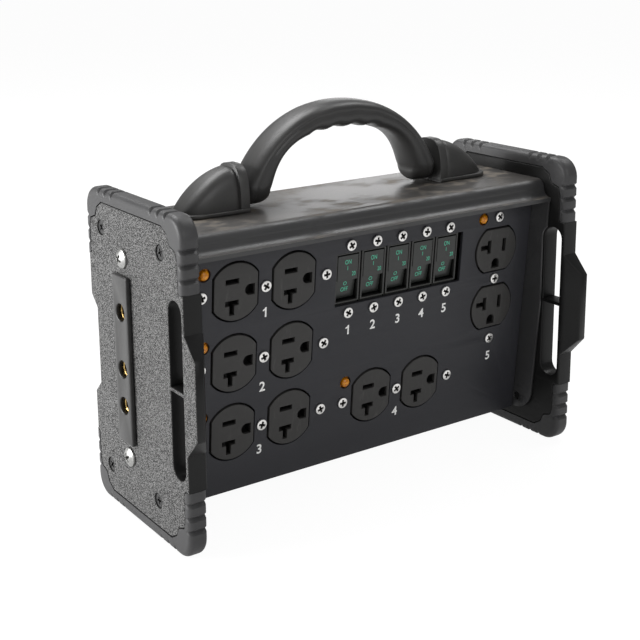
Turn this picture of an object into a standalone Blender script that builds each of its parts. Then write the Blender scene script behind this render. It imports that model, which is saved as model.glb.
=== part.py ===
"""Portable power distribution box for stage lighting.

The box stands on its two end plates. Its origin is at the middle of its
footprint, on the floor, with +Z up, +X to the right and the outlets facing -Y.
All sizes are in metres.
"""

import math

import bpy
import bmesh
from mathutils import Vector

# End plates
PLATE_HEIGHT = 0.1905
PLATE_DEPTH = 0.1140
PLATE_THICKNESS = 0.0115
PLATE_SPACING = 0.2640
PLATE_REAR_SETBACK = 0.0025
PLATE_EDGE_ROUND = 0.0014
WING_REACH = 0.0106
WING_TIP_HEIGHT = 0.0430
WING_ROOT_HEIGHT = 0.0670
WING_TIP_THICKNESS = 0.0054
WING_ROOT_STEP = 0.0004
NEST_DEPTH = 0.0070
NEST_FLOOR_HEIGHT = 0.0460
NEST_MOUTH_HEIGHT = 0.0600

# Hand slots in the end plates
SLOT_LENGTH = 0.1000
SLOT_WIDTH = 0.0140
SLOT_FROM_FRONT = 0.0026
SLOT_WEB = 0.0022

# Rubber bumpers; the seam steps inwards from the leg as it rises to the cap
BUMPER_CAP = 0.0073
BUMPER_LEG = 0.0048
BUMPER_REACH = 0.0406
BUMPER_CORNER = 0.0125
BUMPER_ROUND = 0.0032
SEAM_CHAMFER = 0.0012
SEAM_CHAMFER_RISE = 0.0002
SEAM_STEPS = ((0.0, 0.0160), (0.0015, 0.0112), (0.0078, 0.0090), (0.0102, 0.0036), (0.0162, 0.0))
GROOVE_START = 0.0176
GROOVE_PITCH = 0.0079
GROOVE_RADIUS = 0.0022
GROOVE_DEPTH = 0.0015
GROOVE_COUNT = 3

# Sheet metal housing
SHEET = 0.0025
HOUSING_TOP_DROP = 0.0152
HOUSING_BOTTOM_RISE = 0.0140
HOUSING_REAR_SETBACK = 0.0110
HOUSING_CORNER = 0.0120
EAVE_FROM_FRONT = 0.0125
EAVE_DROP = 0.0110
EAVE_COVE = 0.0065
EAVE_ROUND = 0.0030
SIDE_SHEET = 0.0015
SIDE_LEAN = math.radians(3.9)
SIDE_CORNER = 0.0145
SIDE_SLOT_MARGIN = 0.0008

# Front panel
PANEL_TILT = math.radians(4.9)
PANEL_FROM_FRONT = 0.0290
PANEL_DATUM_LIFT = 0.04205

# Duplex outlets, placed in the panel's own frame
COLUMN_LEFT = -0.0750
COLUMN_MIDDLE = 0.0248
COLUMN_RIGHT = 0.1012
ROW_TOP = 0.0
ROW_MIDDLE = -0.0430
ROW_BOTTOM = -0.0858
ROW_UPRIGHT = -0.0255
FACE_SPACING = 0.0389
FACE_RADIUS = 0.0171
FACE_FLAT = 0.0143
FACE_PROUD = 0.0006
FACE_DEPTH = 0.0060
OUTLET_LENGTH = 0.0700
OUTLET_WIDTH = 0.0330
OUTLET_DEPTH = 0.0200
BLADE_LENGTH = 0.0080
BLADE_WIDTH = 0.0023
BLADE_SPACING = 0.0127
BLADE_SHIFT = 0.0026
TEE_STEM = 0.0060
GROUND_RADIUS = 0.0029
GROUND_LENGTH = 0.0052
GROUND_SHIFT = 0.0092

# Outlet straps and the panel screws
STRAP_LENGTH = 0.0930
STRAP_WIDTH = 0.0120
STRAP_THICKNESS = 0.0014
SCREW_SPACING = 0.0833
SCREW_HEAD_RADIUS = 0.0033
SCREW_HEAD_HEIGHT = 0.0015
SCREW_SHANK_RADIUS = 0.0017
SCREW_LENGTH = 0.0090
RECESS_SPAN = 0.0034
RECESS_WIDTH = 0.0009
RECESS_DEPTH = 0.0008
RECESS_TURN = math.radians(20.0)
SCREW_SPIN = math.radians(37.0)

# Indicator lamps
LAMP_RADIUS = 0.0029
LAMP_PROUD = 0.0016
LAMP_DEPTH = 0.0140
LAMP_FLANGE_RADIUS = 0.0043
LAMP_FLANGE = 0.0010
LAMP_HOLE_RADIUS = 0.0039
LAMP_ALONG = 0.0396
LAMP_ACROSS = 0.0127
LAMP_UPRIGHT_LIFT = 0.0018

# Circuit breakers
BREAKER_COUNT = 5
BREAKER_PITCH = 0.01905
BREAKER_WIDTH = 0.0182
BREAKER_HEIGHT = 0.0520
BREAKER_DEPTH = 0.0420
BREAKER_COLUMN = 0.0219
BREAKER_ROW = -0.0060
BREAKER_SCREW_SPACING = 0.0422
WINDOW_HEIGHT = 0.0321
WINDOW_LIFT = 0.0003
BEZEL_RECESS = 0.0016
BEZEL_SIDE_STEP = 0.0001
ROCKER_WIDTH = 0.0148
ROCKER_DROP = 0.0007
ROCKER_RADIUS = 0.0050
ROCKER_UP = 0.0148
ROCKER_DOWN = 0.0128
ROCKER_THICKNESS = 0.0038
ROCKER_HUB = 0.0026
ROCKER_THROW = math.radians(13.0)
POCKET_DEPTH = 0.0110
POCKET_END_GAP = 0.0008

# Pin connectors in the end plates
CONNECTOR_Y = 0.0161
CONNECTOR_LIFT = 0.00155
CONNECTOR_LENGTH = 0.0990
CONNECTOR_WIDTH = 0.0175
CONNECTOR_PROUD = 0.0030
CORE_LENGTH = 0.0900
CORE_WIDTH = 0.0150
CORE_DEPTH = 0.0300
CONTACT_HOT = 0.0282
CONTACT_GROUND = -0.0053
CONTACT_NEUTRAL = -0.0271
MOUTH_RADIUS = 0.0051
MOUTH_DEPTH = 0.0020
CONTACT_DEPTH = 0.0240
SOCKET_BORE = 0.0042
SOCKET_WALL = 0.0016
PIN_RADIUS = 0.0039
PIN_SETBACK = 0.0020
PIN_ROOT = 0.0060
PIN_NOSE = 0.0020
PIN_NOSE_ROUND = 0.0004
PIN_NOSE_RADIUS = 0.0024
WELL_WIDTH = 0.0118
WELL_END_MARGIN = 0.0090
PAN_CLEARANCE = 0.0036
PAN_RADIUS = 0.0057
PAN_HEIGHT = 0.0028
PAN_SHANK_RADIUS = 0.0024
PAN_LENGTH = 0.0130

# Countersunk screws that hold the end plates
FLAT_HEAD_RADIUS = 0.0041
FLAT_HEAD_DEPTH = 0.0024
FLAT_SHANK_RADIUS = 0.0022
FLAT_LENGTH = 0.0128
FLAT_TOP_DROP = 0.0224
FLAT_BOTTOM_RISE = 0.0232
FLAT_REAR_SETBACK = 0.0191
FLAT_TOP_FROM_FRONT = 0.0239
FLAT_BOTTOM_FROM_FRONT = 0.0358

# Carrying handle
HANDLE_Y = 0.0120
HANDLE_WIDTH = 0.0250
HANDLE_OUTER_SPAN = 0.0706
HANDLE_INNER_SPAN = 0.0525
HANDLE_OUTER_RISE = 0.0440
HANDLE_INNER_RISE = 0.0275
HANDLE_CROWN = 0.0475
HANDLE_SHOULDER_IN = 0.0046
HANDLE_SHOULDER_RISE = 0.0080
HANDLE_FOOT_CLEARANCE = 0.0015
HANDLE_ROUND = 0.0040
HANDLE_TOE_ROUND = 0.0070
SCALLOP_COUNT = 4
SCALLOP_PITCH = 0.0140
SCALLOP_RADIUS = 0.0120
SCALLOP_DEPTH = 0.0012
MOUNT_WIDTH = 0.0260
MOUNT_HEIGHT = 0.0260
MOUNT_LENGTH = 0.0425
MOUNT_SQUARENESS = 3.2
MOUNT_FALL = 1.75
MOUNT_SIDES = 14
MOUNT_RINGS = 8
MOUNT_RIM_LENGTH = 0.0060
MOUNT_RIM_STEP = 0.0008
MOUNT_TAPER_START = 0.35
MOUNT_TAPER = 2.2
MOUNT_NOSE_WIDTH = 0.0026
MOUNT_NOSE_HEIGHT = 0.0016
MOUNT_FLANGE_HEIGHT = 0.0022
MOUNT_FLANGE_STEP = 0.0015
PIVOT_RADIUS = 0.0035
PIVOT_IN_GRIP = 0.0090
PIVOT_IN_MOUNT = 0.0120

# Bus bars on the housing's back wall
BUS_LENGTH = 0.1900
BUS_HEIGHT = 0.0100
BUS_THICKNESS = 0.0030
BUS_STANDOFF = 0.0120
BUS_POST_RADIUS = 0.0040
BUS_POST_SPACING = 0.1500
HOT_BUS_LIFT = 0.03705
NEUTRAL_BUS_LIFT = -0.05795

# Clearances
TOUCH_GAP = 0.0003
SEAM_GAP = 0.0004
HOLE_GAP = 0.0004
HANDLE_GAP = 0.0004

HALF_SPACING = PLATE_SPACING / 2
PLATE_OUTER = HALF_SPACING + PLATE_THICKNESS
REAR = (PLATE_DEPTH + WING_REACH) / 2
FRONT = REAR - PLATE_DEPTH
MIDDLE = PLATE_HEIGHT / 2
TOP = PLATE_HEIGHT - HOUSING_TOP_DROP
BOTTOM = HOUSING_BOTTOM_RISE
HOUSING_REAR = REAR - HOUSING_REAR_SETBACK
HINGE_RISE = TOP + HANDLE_WIDTH / 2 + HANDLE_FOOT_CLEARANCE
PANEL_Y = FRONT + PANEL_FROM_FRONT
PANEL_DATUM = MIDDLE + PANEL_DATUM_LIFT
BEHIND_PANEL = SHEET + TOUCH_GAP
CONNECTOR_RISE = MIDDLE + CONNECTOR_LIFT
PAN_SPACING = CONNECTOR_LENGTH + 2 * (PAN_RADIUS + PAN_CLEARANCE)

ACROSS_X = (math.pi / 2, 0.0, math.pi / 2)
FACING_FRONT = (math.pi / 2, 0.0, 0.0)
OVERCUT = 0.002
CROWN_SHARE = 0.7
CROWN_LEVEL = 0.85


for old in list(bpy.data.objects):
    bpy.data.objects.remove(old, do_unlink=True)

parts = bpy.data.collections.new("power_distribution_box")
cutters = bpy.data.collections.new("cutters")
bpy.context.scene.collection.children.link(parts)
bpy.context.scene.collection.children.link(cutters)
cutters.hide_render = True


def material(name, colour, roughness, metallic=0.0):
    made = bpy.data.materials.new(name)
    made.use_nodes = True
    shader = made.node_tree.nodes["Principled BSDF"]
    shader.inputs["Base Color"].default_value = (*colour, 1.0)
    shader.inputs["Roughness"].default_value = roughness
    shader.inputs["Metallic"].default_value = metallic
    return made


POWDER_COAT = material("charcoal_powder_coat", (0.16, 0.15, 0.14), 0.35)
PANEL_PAINT = material("black_panel_paint", (0.025, 0.026, 0.029), 0.45)
PLATE_PLASTIC = material("grey_grained_plastic", (0.15, 0.15, 0.15), 0.6)
RUBBER = material("grey_rubber", (0.17, 0.17, 0.175), 0.55)
GRIP_RUBBER = material("black_grip_rubber", (0.04, 0.04, 0.042), 0.5)
MOUNT_PLASTIC = material("black_mount_plastic", (0.03, 0.03, 0.032), 0.4)
OUTLET_PLASTIC = material("warm_black_plastic", (0.045, 0.043, 0.04), 0.4)
BREAKER_PLASTIC = material("breaker_black_plastic", (0.03, 0.03, 0.031), 0.4)
BLOCK_PLASTIC = material("connector_black_phenolic", (0.035, 0.035, 0.036), 0.5)
NICKEL = material("nickel_plate", (0.72, 0.70, 0.66), 0.3, 1.0)
BLACK_STEEL = material("black_oxide_steel", (0.03, 0.03, 0.03), 0.4, 0.8)
STEEL = material("zinc_plated_steel", (0.55, 0.56, 0.58), 0.35, 1.0)
BRASS = material("brass", (0.72, 0.52, 0.22), 0.3, 1.0)
COPPER = material("copper", (0.75, 0.38, 0.24), 0.3, 1.0)
AMBER = material("amber_lens", (0.80, 0.33, 0.03), 0.2)


def file_under(obj, collection):
    for home in list(obj.users_collection):
        home.objects.unlink(obj)
    collection.objects.link(obj)


def keep(obj, name, finish, parent=None):
    """Files a finished piece under its name, with its material and parent."""
    obj.name = name
    file_under(obj, parts)
    obj.data.materials.clear()
    obj.data.materials.append(finish)
    obj.parent = parent
    return obj


def copy_to(obj, name, location, rotation=None):
    """Another piece of the same shape and material."""
    made = obj.copy()
    made.name = name
    made.location = location
    if rotation is not None:
        made.rotation_euler = rotation
    parts.objects.link(made)
    return made


def discard(*pieces):
    """Removes the first of a set of like pieces, once its copies are placed."""
    for piece in pieces:
        bpy.data.objects.remove(piece, do_unlink=True)


def settle(obj):
    """Applies the modifiers, so that the piece is one plain mesh."""
    bpy.context.view_layer.update()
    graph = bpy.context.evaluated_depsgraph_get()
    mesh = bpy.data.meshes.new_from_object(obj.evaluated_get(graph))
    obj.modifiers.clear()
    obj.data = mesh
    return obj


def weld(mesh):
    """Closes the seams of a mesh that came from a curve and clears its flat faces."""
    work = bmesh.new()
    work.from_mesh(mesh)
    bmesh.ops.remove_doubles(work, verts=work.verts, dist=0.000001)
    bmesh.ops.dissolve_limit(work, angle_limit=0.001, verts=work.verts, edges=work.edges)
    bmesh.ops.recalc_face_normals(work, faces=work.faces)
    work.to_mesh(mesh)
    work.free()


def outline(loops, thickness, rotation=(0.0, 0.0, 0.0), location=(0.0, 0.0, 0.0)):
    """A flat piece: the first loop is its edge and the others are its holes."""
    curve = bpy.data.curves.new("outline", "CURVE")
    curve.dimensions = "2D"
    curve.fill_mode = "BOTH"
    curve.extrude = thickness / 2
    for loop in loops:
        spline = curve.splines.new("POLY")
        spline.points.add(len(loop) - 1)
        for point, (u, v) in zip(spline.points, loop):
            point.co = (u, v, 0.0, 1.0)
        spline.use_cyclic_u = True
    source = bpy.data.objects.new("outline", curve)
    source.location = location
    source.rotation_euler = rotation
    parts.objects.link(source)
    bpy.context.view_layer.update()
    graph = bpy.context.evaluated_depsgraph_get()
    mesh = bpy.data.meshes.new_from_object(source.evaluated_get(graph))
    weld(mesh)
    made = bpy.data.objects.new("flat_piece", mesh)
    made.location = location
    made.rotation_euler = rotation
    parts.objects.link(made)
    bpy.data.objects.remove(source, do_unlink=True)
    return made


def box(low, high):
    """A block between two opposite corners."""
    size = [b - a for a, b in zip(low, high)]
    centre = [(a + b) / 2 for a, b in zip(low, high)]
    bpy.ops.mesh.primitive_cube_add(size=1.0, location=centre)
    made = bpy.context.object
    made.scale = size
    bpy.ops.object.transform_apply(location=False, rotation=False, scale=True)
    return made


def rod(radius, length, location, rotation=(0.0, 0.0, 0.0), sides=16):
    bpy.ops.mesh.primitive_cylinder_add(
        vertices=sides, radius=radius, depth=length, location=location, rotation=rotation
    )
    return bpy.context.object


def turned(profile, location=(0.0, 0.0, 0.0), rotation=(0.0, 0.0, 0.0), steps=16):
    """A solid of revolution: (radius, height) pairs down its outer side."""
    mesh = bpy.data.meshes.new("turned")
    work = bmesh.new()
    points = [work.verts.new((radius, 0.0, height)) for radius, height in profile]
    for a, b in zip(points, points[1:]):
        work.edges.new((a, b))
    if profile[0][0] > 0:
        work.edges.new((points[-1], points[0]))
    work.to_mesh(mesh)
    work.free()
    made = bpy.data.objects.new("turned", mesh)
    made.location = location
    made.rotation_euler = rotation
    parts.objects.link(made)
    screw = made.modifiers.new("turn", "SCREW")
    screw.steps = steps
    screw.render_steps = steps
    screw.use_merge_vertices = True
    screw.merge_threshold = 0.00001
    return settle(made)


def combine(target, other, operation):
    modifier = target.modifiers.new("combine", "BOOLEAN")
    modifier.operation = operation
    modifier.object = other
    modifier.solver = "EXACT"
    settle(target)
    file_under(other, cutters)
    other.hide_render = True
    other.display_type = "WIRE"
    return target


def cut(target, other):
    return combine(target, other, "DIFFERENCE")


def join(target, *others):
    for other in others:
        combine(target, other, "UNION")
    return target


def apply_placement(obj):
    """Moves the placement into the mesh, so that the origin is the frame's."""
    bpy.context.view_layer.update()
    obj.data.transform(obj.matrix_world)
    obj.location = (0.0, 0.0, 0.0)
    obj.rotation_euler = (0.0, 0.0, 0.0)
    return obj


def near(point, places):
    return any(math.dist(point, place) < 0.00001 for place in places)


def round_edges(obj, width, segments, places):
    """Rounds the edges that follow the given points of an outline piece."""
    mesh = obj.data
    weights = mesh.attributes.new("bevel_weight_edge", "FLOAT", "EDGE")
    for edge in mesh.edges:
        a, b = (mesh.vertices[i].co for i in edge.vertices)
        level = abs(a.z - b.z) < 0.00001
        if level and near((a.x, a.y), places) and near((b.x, b.y), places):
            weights.data[edge.index].value = 1.0
    bevel = obj.modifiers.new("rounded edges", "BEVEL")
    bevel.width = width
    bevel.segments = segments
    bevel.limit_method = "WEIGHT"
    bevel.use_clamp_overlap = True
    settle(obj)
    obj.data.attributes.remove(obj.data.attributes["bevel_weight_edge"])
    return obj


def smooth(obj, angle=40.0):
    obj.data.shade_smooth()
    obj.data.set_sharp_from_angle(angle=math.radians(angle))
    return obj


def arc(centre, radius, start, end, steps):
    """Points on an arc, angles in degrees, both ends included."""
    points = []
    for i in range(steps + 1):
        angle = math.radians(start + (end - start) * i / steps)
        points.append((centre[0] + radius * math.cos(angle), centre[1] + radius * math.sin(angle)))
    return points


def circle(centre, radius, sides):
    return arc(centre, radius, 0, 360, sides)[:-1]


def rectangle(low_u, low_v, high_u, high_v):
    return [(low_u, low_v), (high_u, low_v), (high_u, high_v), (low_u, high_v)]


def bend(a, b, c, d, steps):
    """A cubic curve from a to d, pulled towards b and c."""
    points = []
    for i in range(steps + 1):
        t = i / steps
        s = 1 - t
        weights = (s * s * s, 3 * s * s * t, 3 * s * t * t, t * t * t)
        points.append(tuple(sum(w * p[k] for w, p in zip(weights, (a, b, c, d))) for k in (0, 1)))
    return points


def shifted(points, distance):
    """A polyline moved sideways by a distance, to its left as it runs."""
    moved = []
    for i, point in enumerate(points):
        here = Vector(point)
        before = (here - Vector(points[i - 1])).normalized() if i > 0 else None
        after = (Vector(points[i + 1]) - here).normalized() if i < len(points) - 1 else None
        before = before or after
        after = after or before
        left = Vector((-before.y - after.y, before.x + after.x)).normalized()
        reach = distance / left.dot(Vector((-before.y, before.x)))
        moved.append(tuple(here + left * reach))
    return moved


def flipped(points):
    """The same points mirrored top to bottom on an end plate."""
    return [(y, PLATE_HEIGHT - z) for y, z in points]


def cross_recess(top):
    """The cutter for a cross recess in a screw head that faces +Z."""
    slit = RECESS_WIDTH / 2
    far = RECESS_SPAN / 2
    loop = []
    for turns in range(4):
        for u, v in ((far, slit), (slit, slit), (slit, far)):
            for _ in range(turns):
                u, v = -v, u
            loop.append((u, v))
    thickness = RECESS_DEPTH + OVERCUT
    middle = top - RECESS_DEPTH + thickness / 2
    return outline([loop], thickness, (0.0, 0.0, RECESS_TURN), (0.0, 0.0, middle))


def headed_screw(radius, height, shank, length, steps, recess=True):
    """A screw with a low domed head, its head's underside at z = 0."""
    made = turned(
        [
            (0.0, height),
            (radius * CROWN_SHARE, height * CROWN_LEVEL),
            (radius, 0.0),
            (shank, 0.0),
            (shank, -length),
            (0.0, -length),
        ],
        steps=steps,
    )
    if recess:
        cut(made, cross_recess(height))
    return made


# The leaning frame in which everything on the front panel is placed:
# X runs across it, Y into the box and Z up along the panel
panel_frame = bpy.data.objects.new("panel_frame", None)
panel_frame.location = (0.0, PANEL_Y, PANEL_DATUM)
panel_frame.rotation_euler = (PANEL_TILT, 0.0, 0.0)
parts.objects.link(panel_frame)


# End plates and rubber bumpers. A bumper wraps each end of a plate, and the
# seam between them steps inwards round the two corners.
def seam_half(edge, inwards):
    """The upper seam from one edge of the plate to the run along its top."""
    cap = PLATE_HEIGHT - BUMPER_CAP
    foot = PLATE_HEIGHT - BUMPER_REACH
    steps = [
        (0.0, foot),
        (BUMPER_LEG - SEAM_CHAMFER, foot + SEAM_CHAMFER_RISE),
        (BUMPER_LEG, foot + SEAM_CHAMFER),
    ]
    steps += [(BUMPER_LEG + across, cap - down) for across, down in SEAM_STEPS]
    return [(edge + inwards * across, up) for across, up in steps]


def half_seam_gap(points, distance, end_front, end_rear):
    """The seam moved by half its gap, with its ends kept on the two edges."""
    moved = shifted(points, distance)
    moved[0] = (end_front, moved[0][1])
    moved[-1] = (end_rear, moved[-1][1])
    return moved


seam = seam_half(FRONT, 1.0) + seam_half(REAR, -1.0)[::-1]
plate_rear = REAR - PLATE_REAR_SETBACK
plate_seam = half_seam_gap(seam, -SEAM_GAP / 2, FRONT, plate_rear)
bumper_seam = half_seam_gap(seam, SEAM_GAP / 2, FRONT, REAR)

nest_floor = plate_rear - NEST_DEPTH
rear_edge = [
    (plate_rear, MIDDLE + NEST_MOUTH_HEIGHT / 2),
    (nest_floor, MIDDLE + NEST_FLOOR_HEIGHT / 2),
    (nest_floor, MIDDLE - NEST_FLOOR_HEIGHT / 2),
    (plate_rear, MIDDLE - NEST_MOUTH_HEIGHT / 2),
]
wing_tip = FRONT - WING_REACH
front_edge = [
    (FRONT, MIDDLE - WING_ROOT_HEIGHT / 2),
    (wing_tip, MIDDLE - WING_TIP_HEIGHT / 2),
    (wing_tip, MIDDLE + WING_TIP_HEIGHT / 2),
    (FRONT, MIDDLE + WING_ROOT_HEIGHT / 2),
]
plate_edge = plate_seam + rear_edge + flipped(plate_seam)[::-1] + front_edge

slot_front = FRONT + SLOT_FROM_FRONT
slot_rear = slot_front + SLOT_WIDTH
slot_y = (slot_front + slot_rear) / 2


def slot_half(direction):
    """One half of the hand slot, from its middle web to its round end."""
    end = MIDDLE + direction * (SLOT_LENGTH - SLOT_WIDTH) / 2
    web = MIDDLE + direction * SLOT_WEB / 2
    round_end = arc((slot_y, end), SLOT_WIDTH / 2, 0, 180 * direction, 8)
    return [(slot_rear, web)] + round_end + [(slot_front, web)]


FLAT_SCREW_PLACES = [
    (FRONT + FLAT_TOP_FROM_FRONT, PLATE_HEIGHT - FLAT_TOP_DROP),
    (REAR - FLAT_REAR_SETBACK, PLATE_HEIGHT - FLAT_TOP_DROP),
    (FRONT + FLAT_BOTTOM_FROM_FRONT, FLAT_BOTTOM_RISE),
    (REAR - FLAT_REAR_SETBACK, FLAT_BOTTOM_RISE),
]
PAN_SCREW_PLACES = [
    (CONNECTOR_Y, CONNECTOR_RISE - PAN_SPACING / 2),
    (CONNECTOR_Y, CONNECTOR_RISE + PAN_SPACING / 2),
]


def core_opening(gap):
    """The hole through which a connector's core passes."""
    return rectangle(
        CONNECTOR_Y - CORE_WIDTH / 2 - gap,
        CONNECTOR_RISE - CORE_LENGTH / 2 - gap,
        CONNECTOR_Y + CORE_WIDTH / 2 + gap,
        CONNECTOR_RISE + CORE_LENGTH / 2 + gap,
    )


def make_end_plate(side, name):
    middle_x = side * (HALF_SPACING + PLATE_THICKNESS / 2)
    slots = [slot_half(1), slot_half(-1)]
    loops = [plate_edge] + slots + [core_opening(HOLE_GAP)]
    plate = outline(loops, PLATE_THICKNESS, ACROSS_X, (middle_x, 0.0, 0.0))
    round_edges(plate, PLATE_EDGE_ROUND, 1, front_edge[1:3] + front_edge[:1] + front_edge[3:])

    # the wing thins towards its tip on the side that faces the panel
    taper = PLATE_THICKNESS - WING_TIP_THICKNESS
    root = FRONT - WING_ROOT_STEP
    slope = taper / (root - wing_tip)
    wedge = [
        (wing_tip - OVERCUT, -OVERCUT),
        (wing_tip - OVERCUT, taper + slope * OVERCUT),
        (root + OVERCUT / slope, -OVERCUT),
    ]
    loop = [(y, -side * x) for y, x in wedge]
    place = (side * HALF_SPACING, 0.0, MIDDLE)
    cut(plate, outline([loop], WING_ROOT_HEIGHT, (0.0, 0.0, math.pi / 2), place))

    for y, z in FLAT_SCREW_PLACES:
        shank = FLAT_SHANK_RADIUS + HOLE_GAP
        flare = (FLAT_HEAD_RADIUS - FLAT_SHANK_RADIUS) / FLAT_HEAD_DEPTH
        sink = [
            (0.0, OVERCUT),
            (shank + flare * (FLAT_HEAD_DEPTH + OVERCUT), OVERCUT),
            (shank, -FLAT_HEAD_DEPTH),
            (shank, -PLATE_THICKNESS - OVERCUT),
            (0.0, -PLATE_THICKNESS - OVERCUT),
        ]
        turn = (0.0, side * math.pi / 2, 0.0)
        cut(plate, turned(sink, (side * PLATE_OUTER, y, z), turn, 12))
    for y, z in PAN_SCREW_PLACES:
        hole = rod(
            PAN_SHANK_RADIUS + HOLE_GAP,
            PLATE_THICKNESS + 2 * OVERCUT,
            (middle_x, y, z),
            (0.0, math.pi / 2, 0.0),
            12,
        )
        cut(plate, hole)
    keep(plate, "end_plate_" + name, PLATE_PLASTIC)


def make_bumper(side, name, level):
    upper = level == "top"
    middle_x = side * (HALF_SPACING + PLATE_THICKNESS / 2)
    crown = arc((REAR - BUMPER_CORNER, PLATE_HEIGHT - BUMPER_CORNER), BUMPER_CORNER, 0, 90, 4)
    crown += arc((FRONT + BUMPER_CORNER, PLATE_HEIGHT - BUMPER_CORNER), BUMPER_CORNER, 90, 180, 4)
    seam_points = bumper_seam
    if not upper:
        crown = flipped(crown)
        seam_points = flipped(bumper_seam)
    bumper = outline([seam_points + crown], PLATE_THICKNESS, ACROSS_X, (middle_x, 0.0, 0.0))
    round_edges(bumper, BUMPER_ROUND, 2, crown + [seam_points[0], seam_points[-1]])
    height = PLATE_HEIGHT if upper else 0.0
    down = -1 if upper else 1
    lift = GROOVE_RADIUS - GROOVE_DEPTH
    for i in range(GROOVE_COUNT):
        along = GROOVE_START + i * GROOVE_PITCH
        places = [
            (FRONT - lift, height + down * along),
            (REAR + lift, height + down * along),
            (FRONT + along, height - down * lift),
            (REAR - along, height - down * lift),
        ]
        for y, z in places:
            turn = (0.0, math.pi / 2, 0.0)
            cut(bumper, rod(GROOVE_RADIUS, PLATE_THICKNESS + OVERCUT, (middle_x, y, z), turn, 6))
    keep(smooth(bumper, 30.0), "bumper_%s_%s" % (name, level), RUBBER)


for side, name in ((-1, "left"), (1, "right")):
    make_end_plate(side, name)
    make_bumper(side, name, "top")
    make_bumper(side, name, "bottom")


# Housing: one bent sheet that makes the eave over the panel, the top, the
# back and the bottom, with a side sheet welded in each end
eave_tip = FRONT + EAVE_FROM_FRONT
eave_low = TOP - EAVE_DROP
panel_back_at_bottom = PANEL_Y + BEHIND_PANEL / math.cos(PANEL_TILT)
panel_back_at_bottom += (PANEL_DATUM - BOTTOM) * math.tan(PANEL_TILT)

cove = arc((eave_tip, eave_low + EAVE_COVE), EAVE_COVE, -90, -10, 5)
brow = arc((cove[-1][0] + EAVE_ROUND, TOP - EAVE_ROUND), EAVE_ROUND, 180, 90, 3)
top_bend = arc((HOUSING_REAR - HOUSING_CORNER, TOP - HOUSING_CORNER), HOUSING_CORNER, 90, 0, 6)
low_bend = arc((HOUSING_REAR - HOUSING_CORNER, BOTTOM + HOUSING_CORNER), HOUSING_CORNER, 0, -90, 6)
wrap = cove + brow + top_bend + low_bend + [(panel_back_at_bottom, BOTTOM)]
wrap_length = PLATE_SPACING - 2 * TOUCH_GAP
housing = outline([wrap + shifted(wrap, -SHEET)[::-1]], wrap_length, ACROSS_X)

lean_foot = eave_tip + (eave_low - BOTTOM) * math.tan(SIDE_LEAN)
side_corner = (lean_foot + SIDE_CORNER, BOTTOM + SHEET / 2 + SIDE_CORNER)
side_front = arc(side_corner, SIDE_CORNER, 270, 184, 6)
side_outline = shifted(wrap, -SHEET / 2)[:-1] + side_front
side_x = HALF_SPACING - TOUCH_GAP - TOUCH_GAP - SIDE_SHEET / 2
for side in (-1, 1):
    loops = [side_outline, core_opening(HOLE_GAP)]
    loops += [circle(place, FLAT_SHANK_RADIUS + HOLE_GAP, 12) for place in FLAT_SCREW_PLACES]
    loops += [circle(place, PAN_SHANK_RADIUS + HOLE_GAP, 12) for place in PAN_SCREW_PLACES]
    wall = outline(loops, SIDE_SHEET, ACROSS_X, (side * side_x, 0.0, 0.0))
    radius = SLOT_WIDTH / 2 + SIDE_SLOT_MARGIN
    half = (SLOT_LENGTH - SLOT_WIDTH) / 2
    slot = arc((slot_y, MIDDLE + half), radius, 0, 180, 8)
    slot += arc((slot_y, MIDDLE - half), radius, 180, 360, 8)
    cut(wall, outline([slot], SIDE_SHEET + 2 * OVERCUT, ACROSS_X, (side * side_x, 0.0, 0.0)))
    join(housing, wall)
keep(smooth(housing, 35.0), "housing", POWDER_COAT)


# Front panel: a leaning sheet with a cut-out for each device
DUPLEXES = [
    (COLUMN_LEFT, ROW_TOP, False),
    (COLUMN_LEFT, ROW_MIDDLE, False),
    (COLUMN_LEFT, ROW_BOTTOM, False),
    (COLUMN_MIDDLE, ROW_BOTTOM, False),
    (COLUMN_RIGHT, ROW_UPRIGHT, True),
]
BREAKER_COLUMNS = [
    BREAKER_COLUMN + (i - (BREAKER_COUNT - 1) / 2) * BREAKER_PITCH for i in range(BREAKER_COUNT)
]
window_row = BREAKER_ROW + WINDOW_LIFT
window_half = (BREAKER_PITCH * (BREAKER_COUNT - 1) + BREAKER_WIDTH) / 2 + HOLE_GAP
panel_half = side_x - SIDE_SHEET / 2 - TOUCH_GAP
panel_top = (TOP - SHEET - TOUCH_GAP - PANEL_DATUM) / math.cos(PANEL_TILT)
panel_top -= SHEET * math.tan(PANEL_TILT)
panel_bottom = (BOTTOM - PANEL_DATUM) / math.cos(PANEL_TILT)


def on_duplex(points, duplex):
    """Points of a duplex outlet, moved to its place on the panel."""
    column, row, upright = duplex
    if upright:
        points = [(v, -u) for u, v in points]
    return [(column + u, row + v) for u, v in points]


def face_edge(centre, grow):
    """The edge of an outlet face: a circle with two flat sides."""
    radius = FACE_RADIUS + grow
    limit = math.degrees(math.acos((FACE_FLAT + grow) / radius))
    edge = arc((centre, 0.0), radius, limit, 180 - limit, 6)
    return edge + arc((centre, 0.0), radius, 180 + limit, 360 - limit, 6)


def lamp_place(duplex):
    column, row, upright = duplex
    if upright:
        return (column - LAMP_ACROSS, row + LAMP_ALONG + LAMP_UPRIGHT_LIFT)
    return (column - LAMP_ALONG, row + LAMP_ACROSS)


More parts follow.
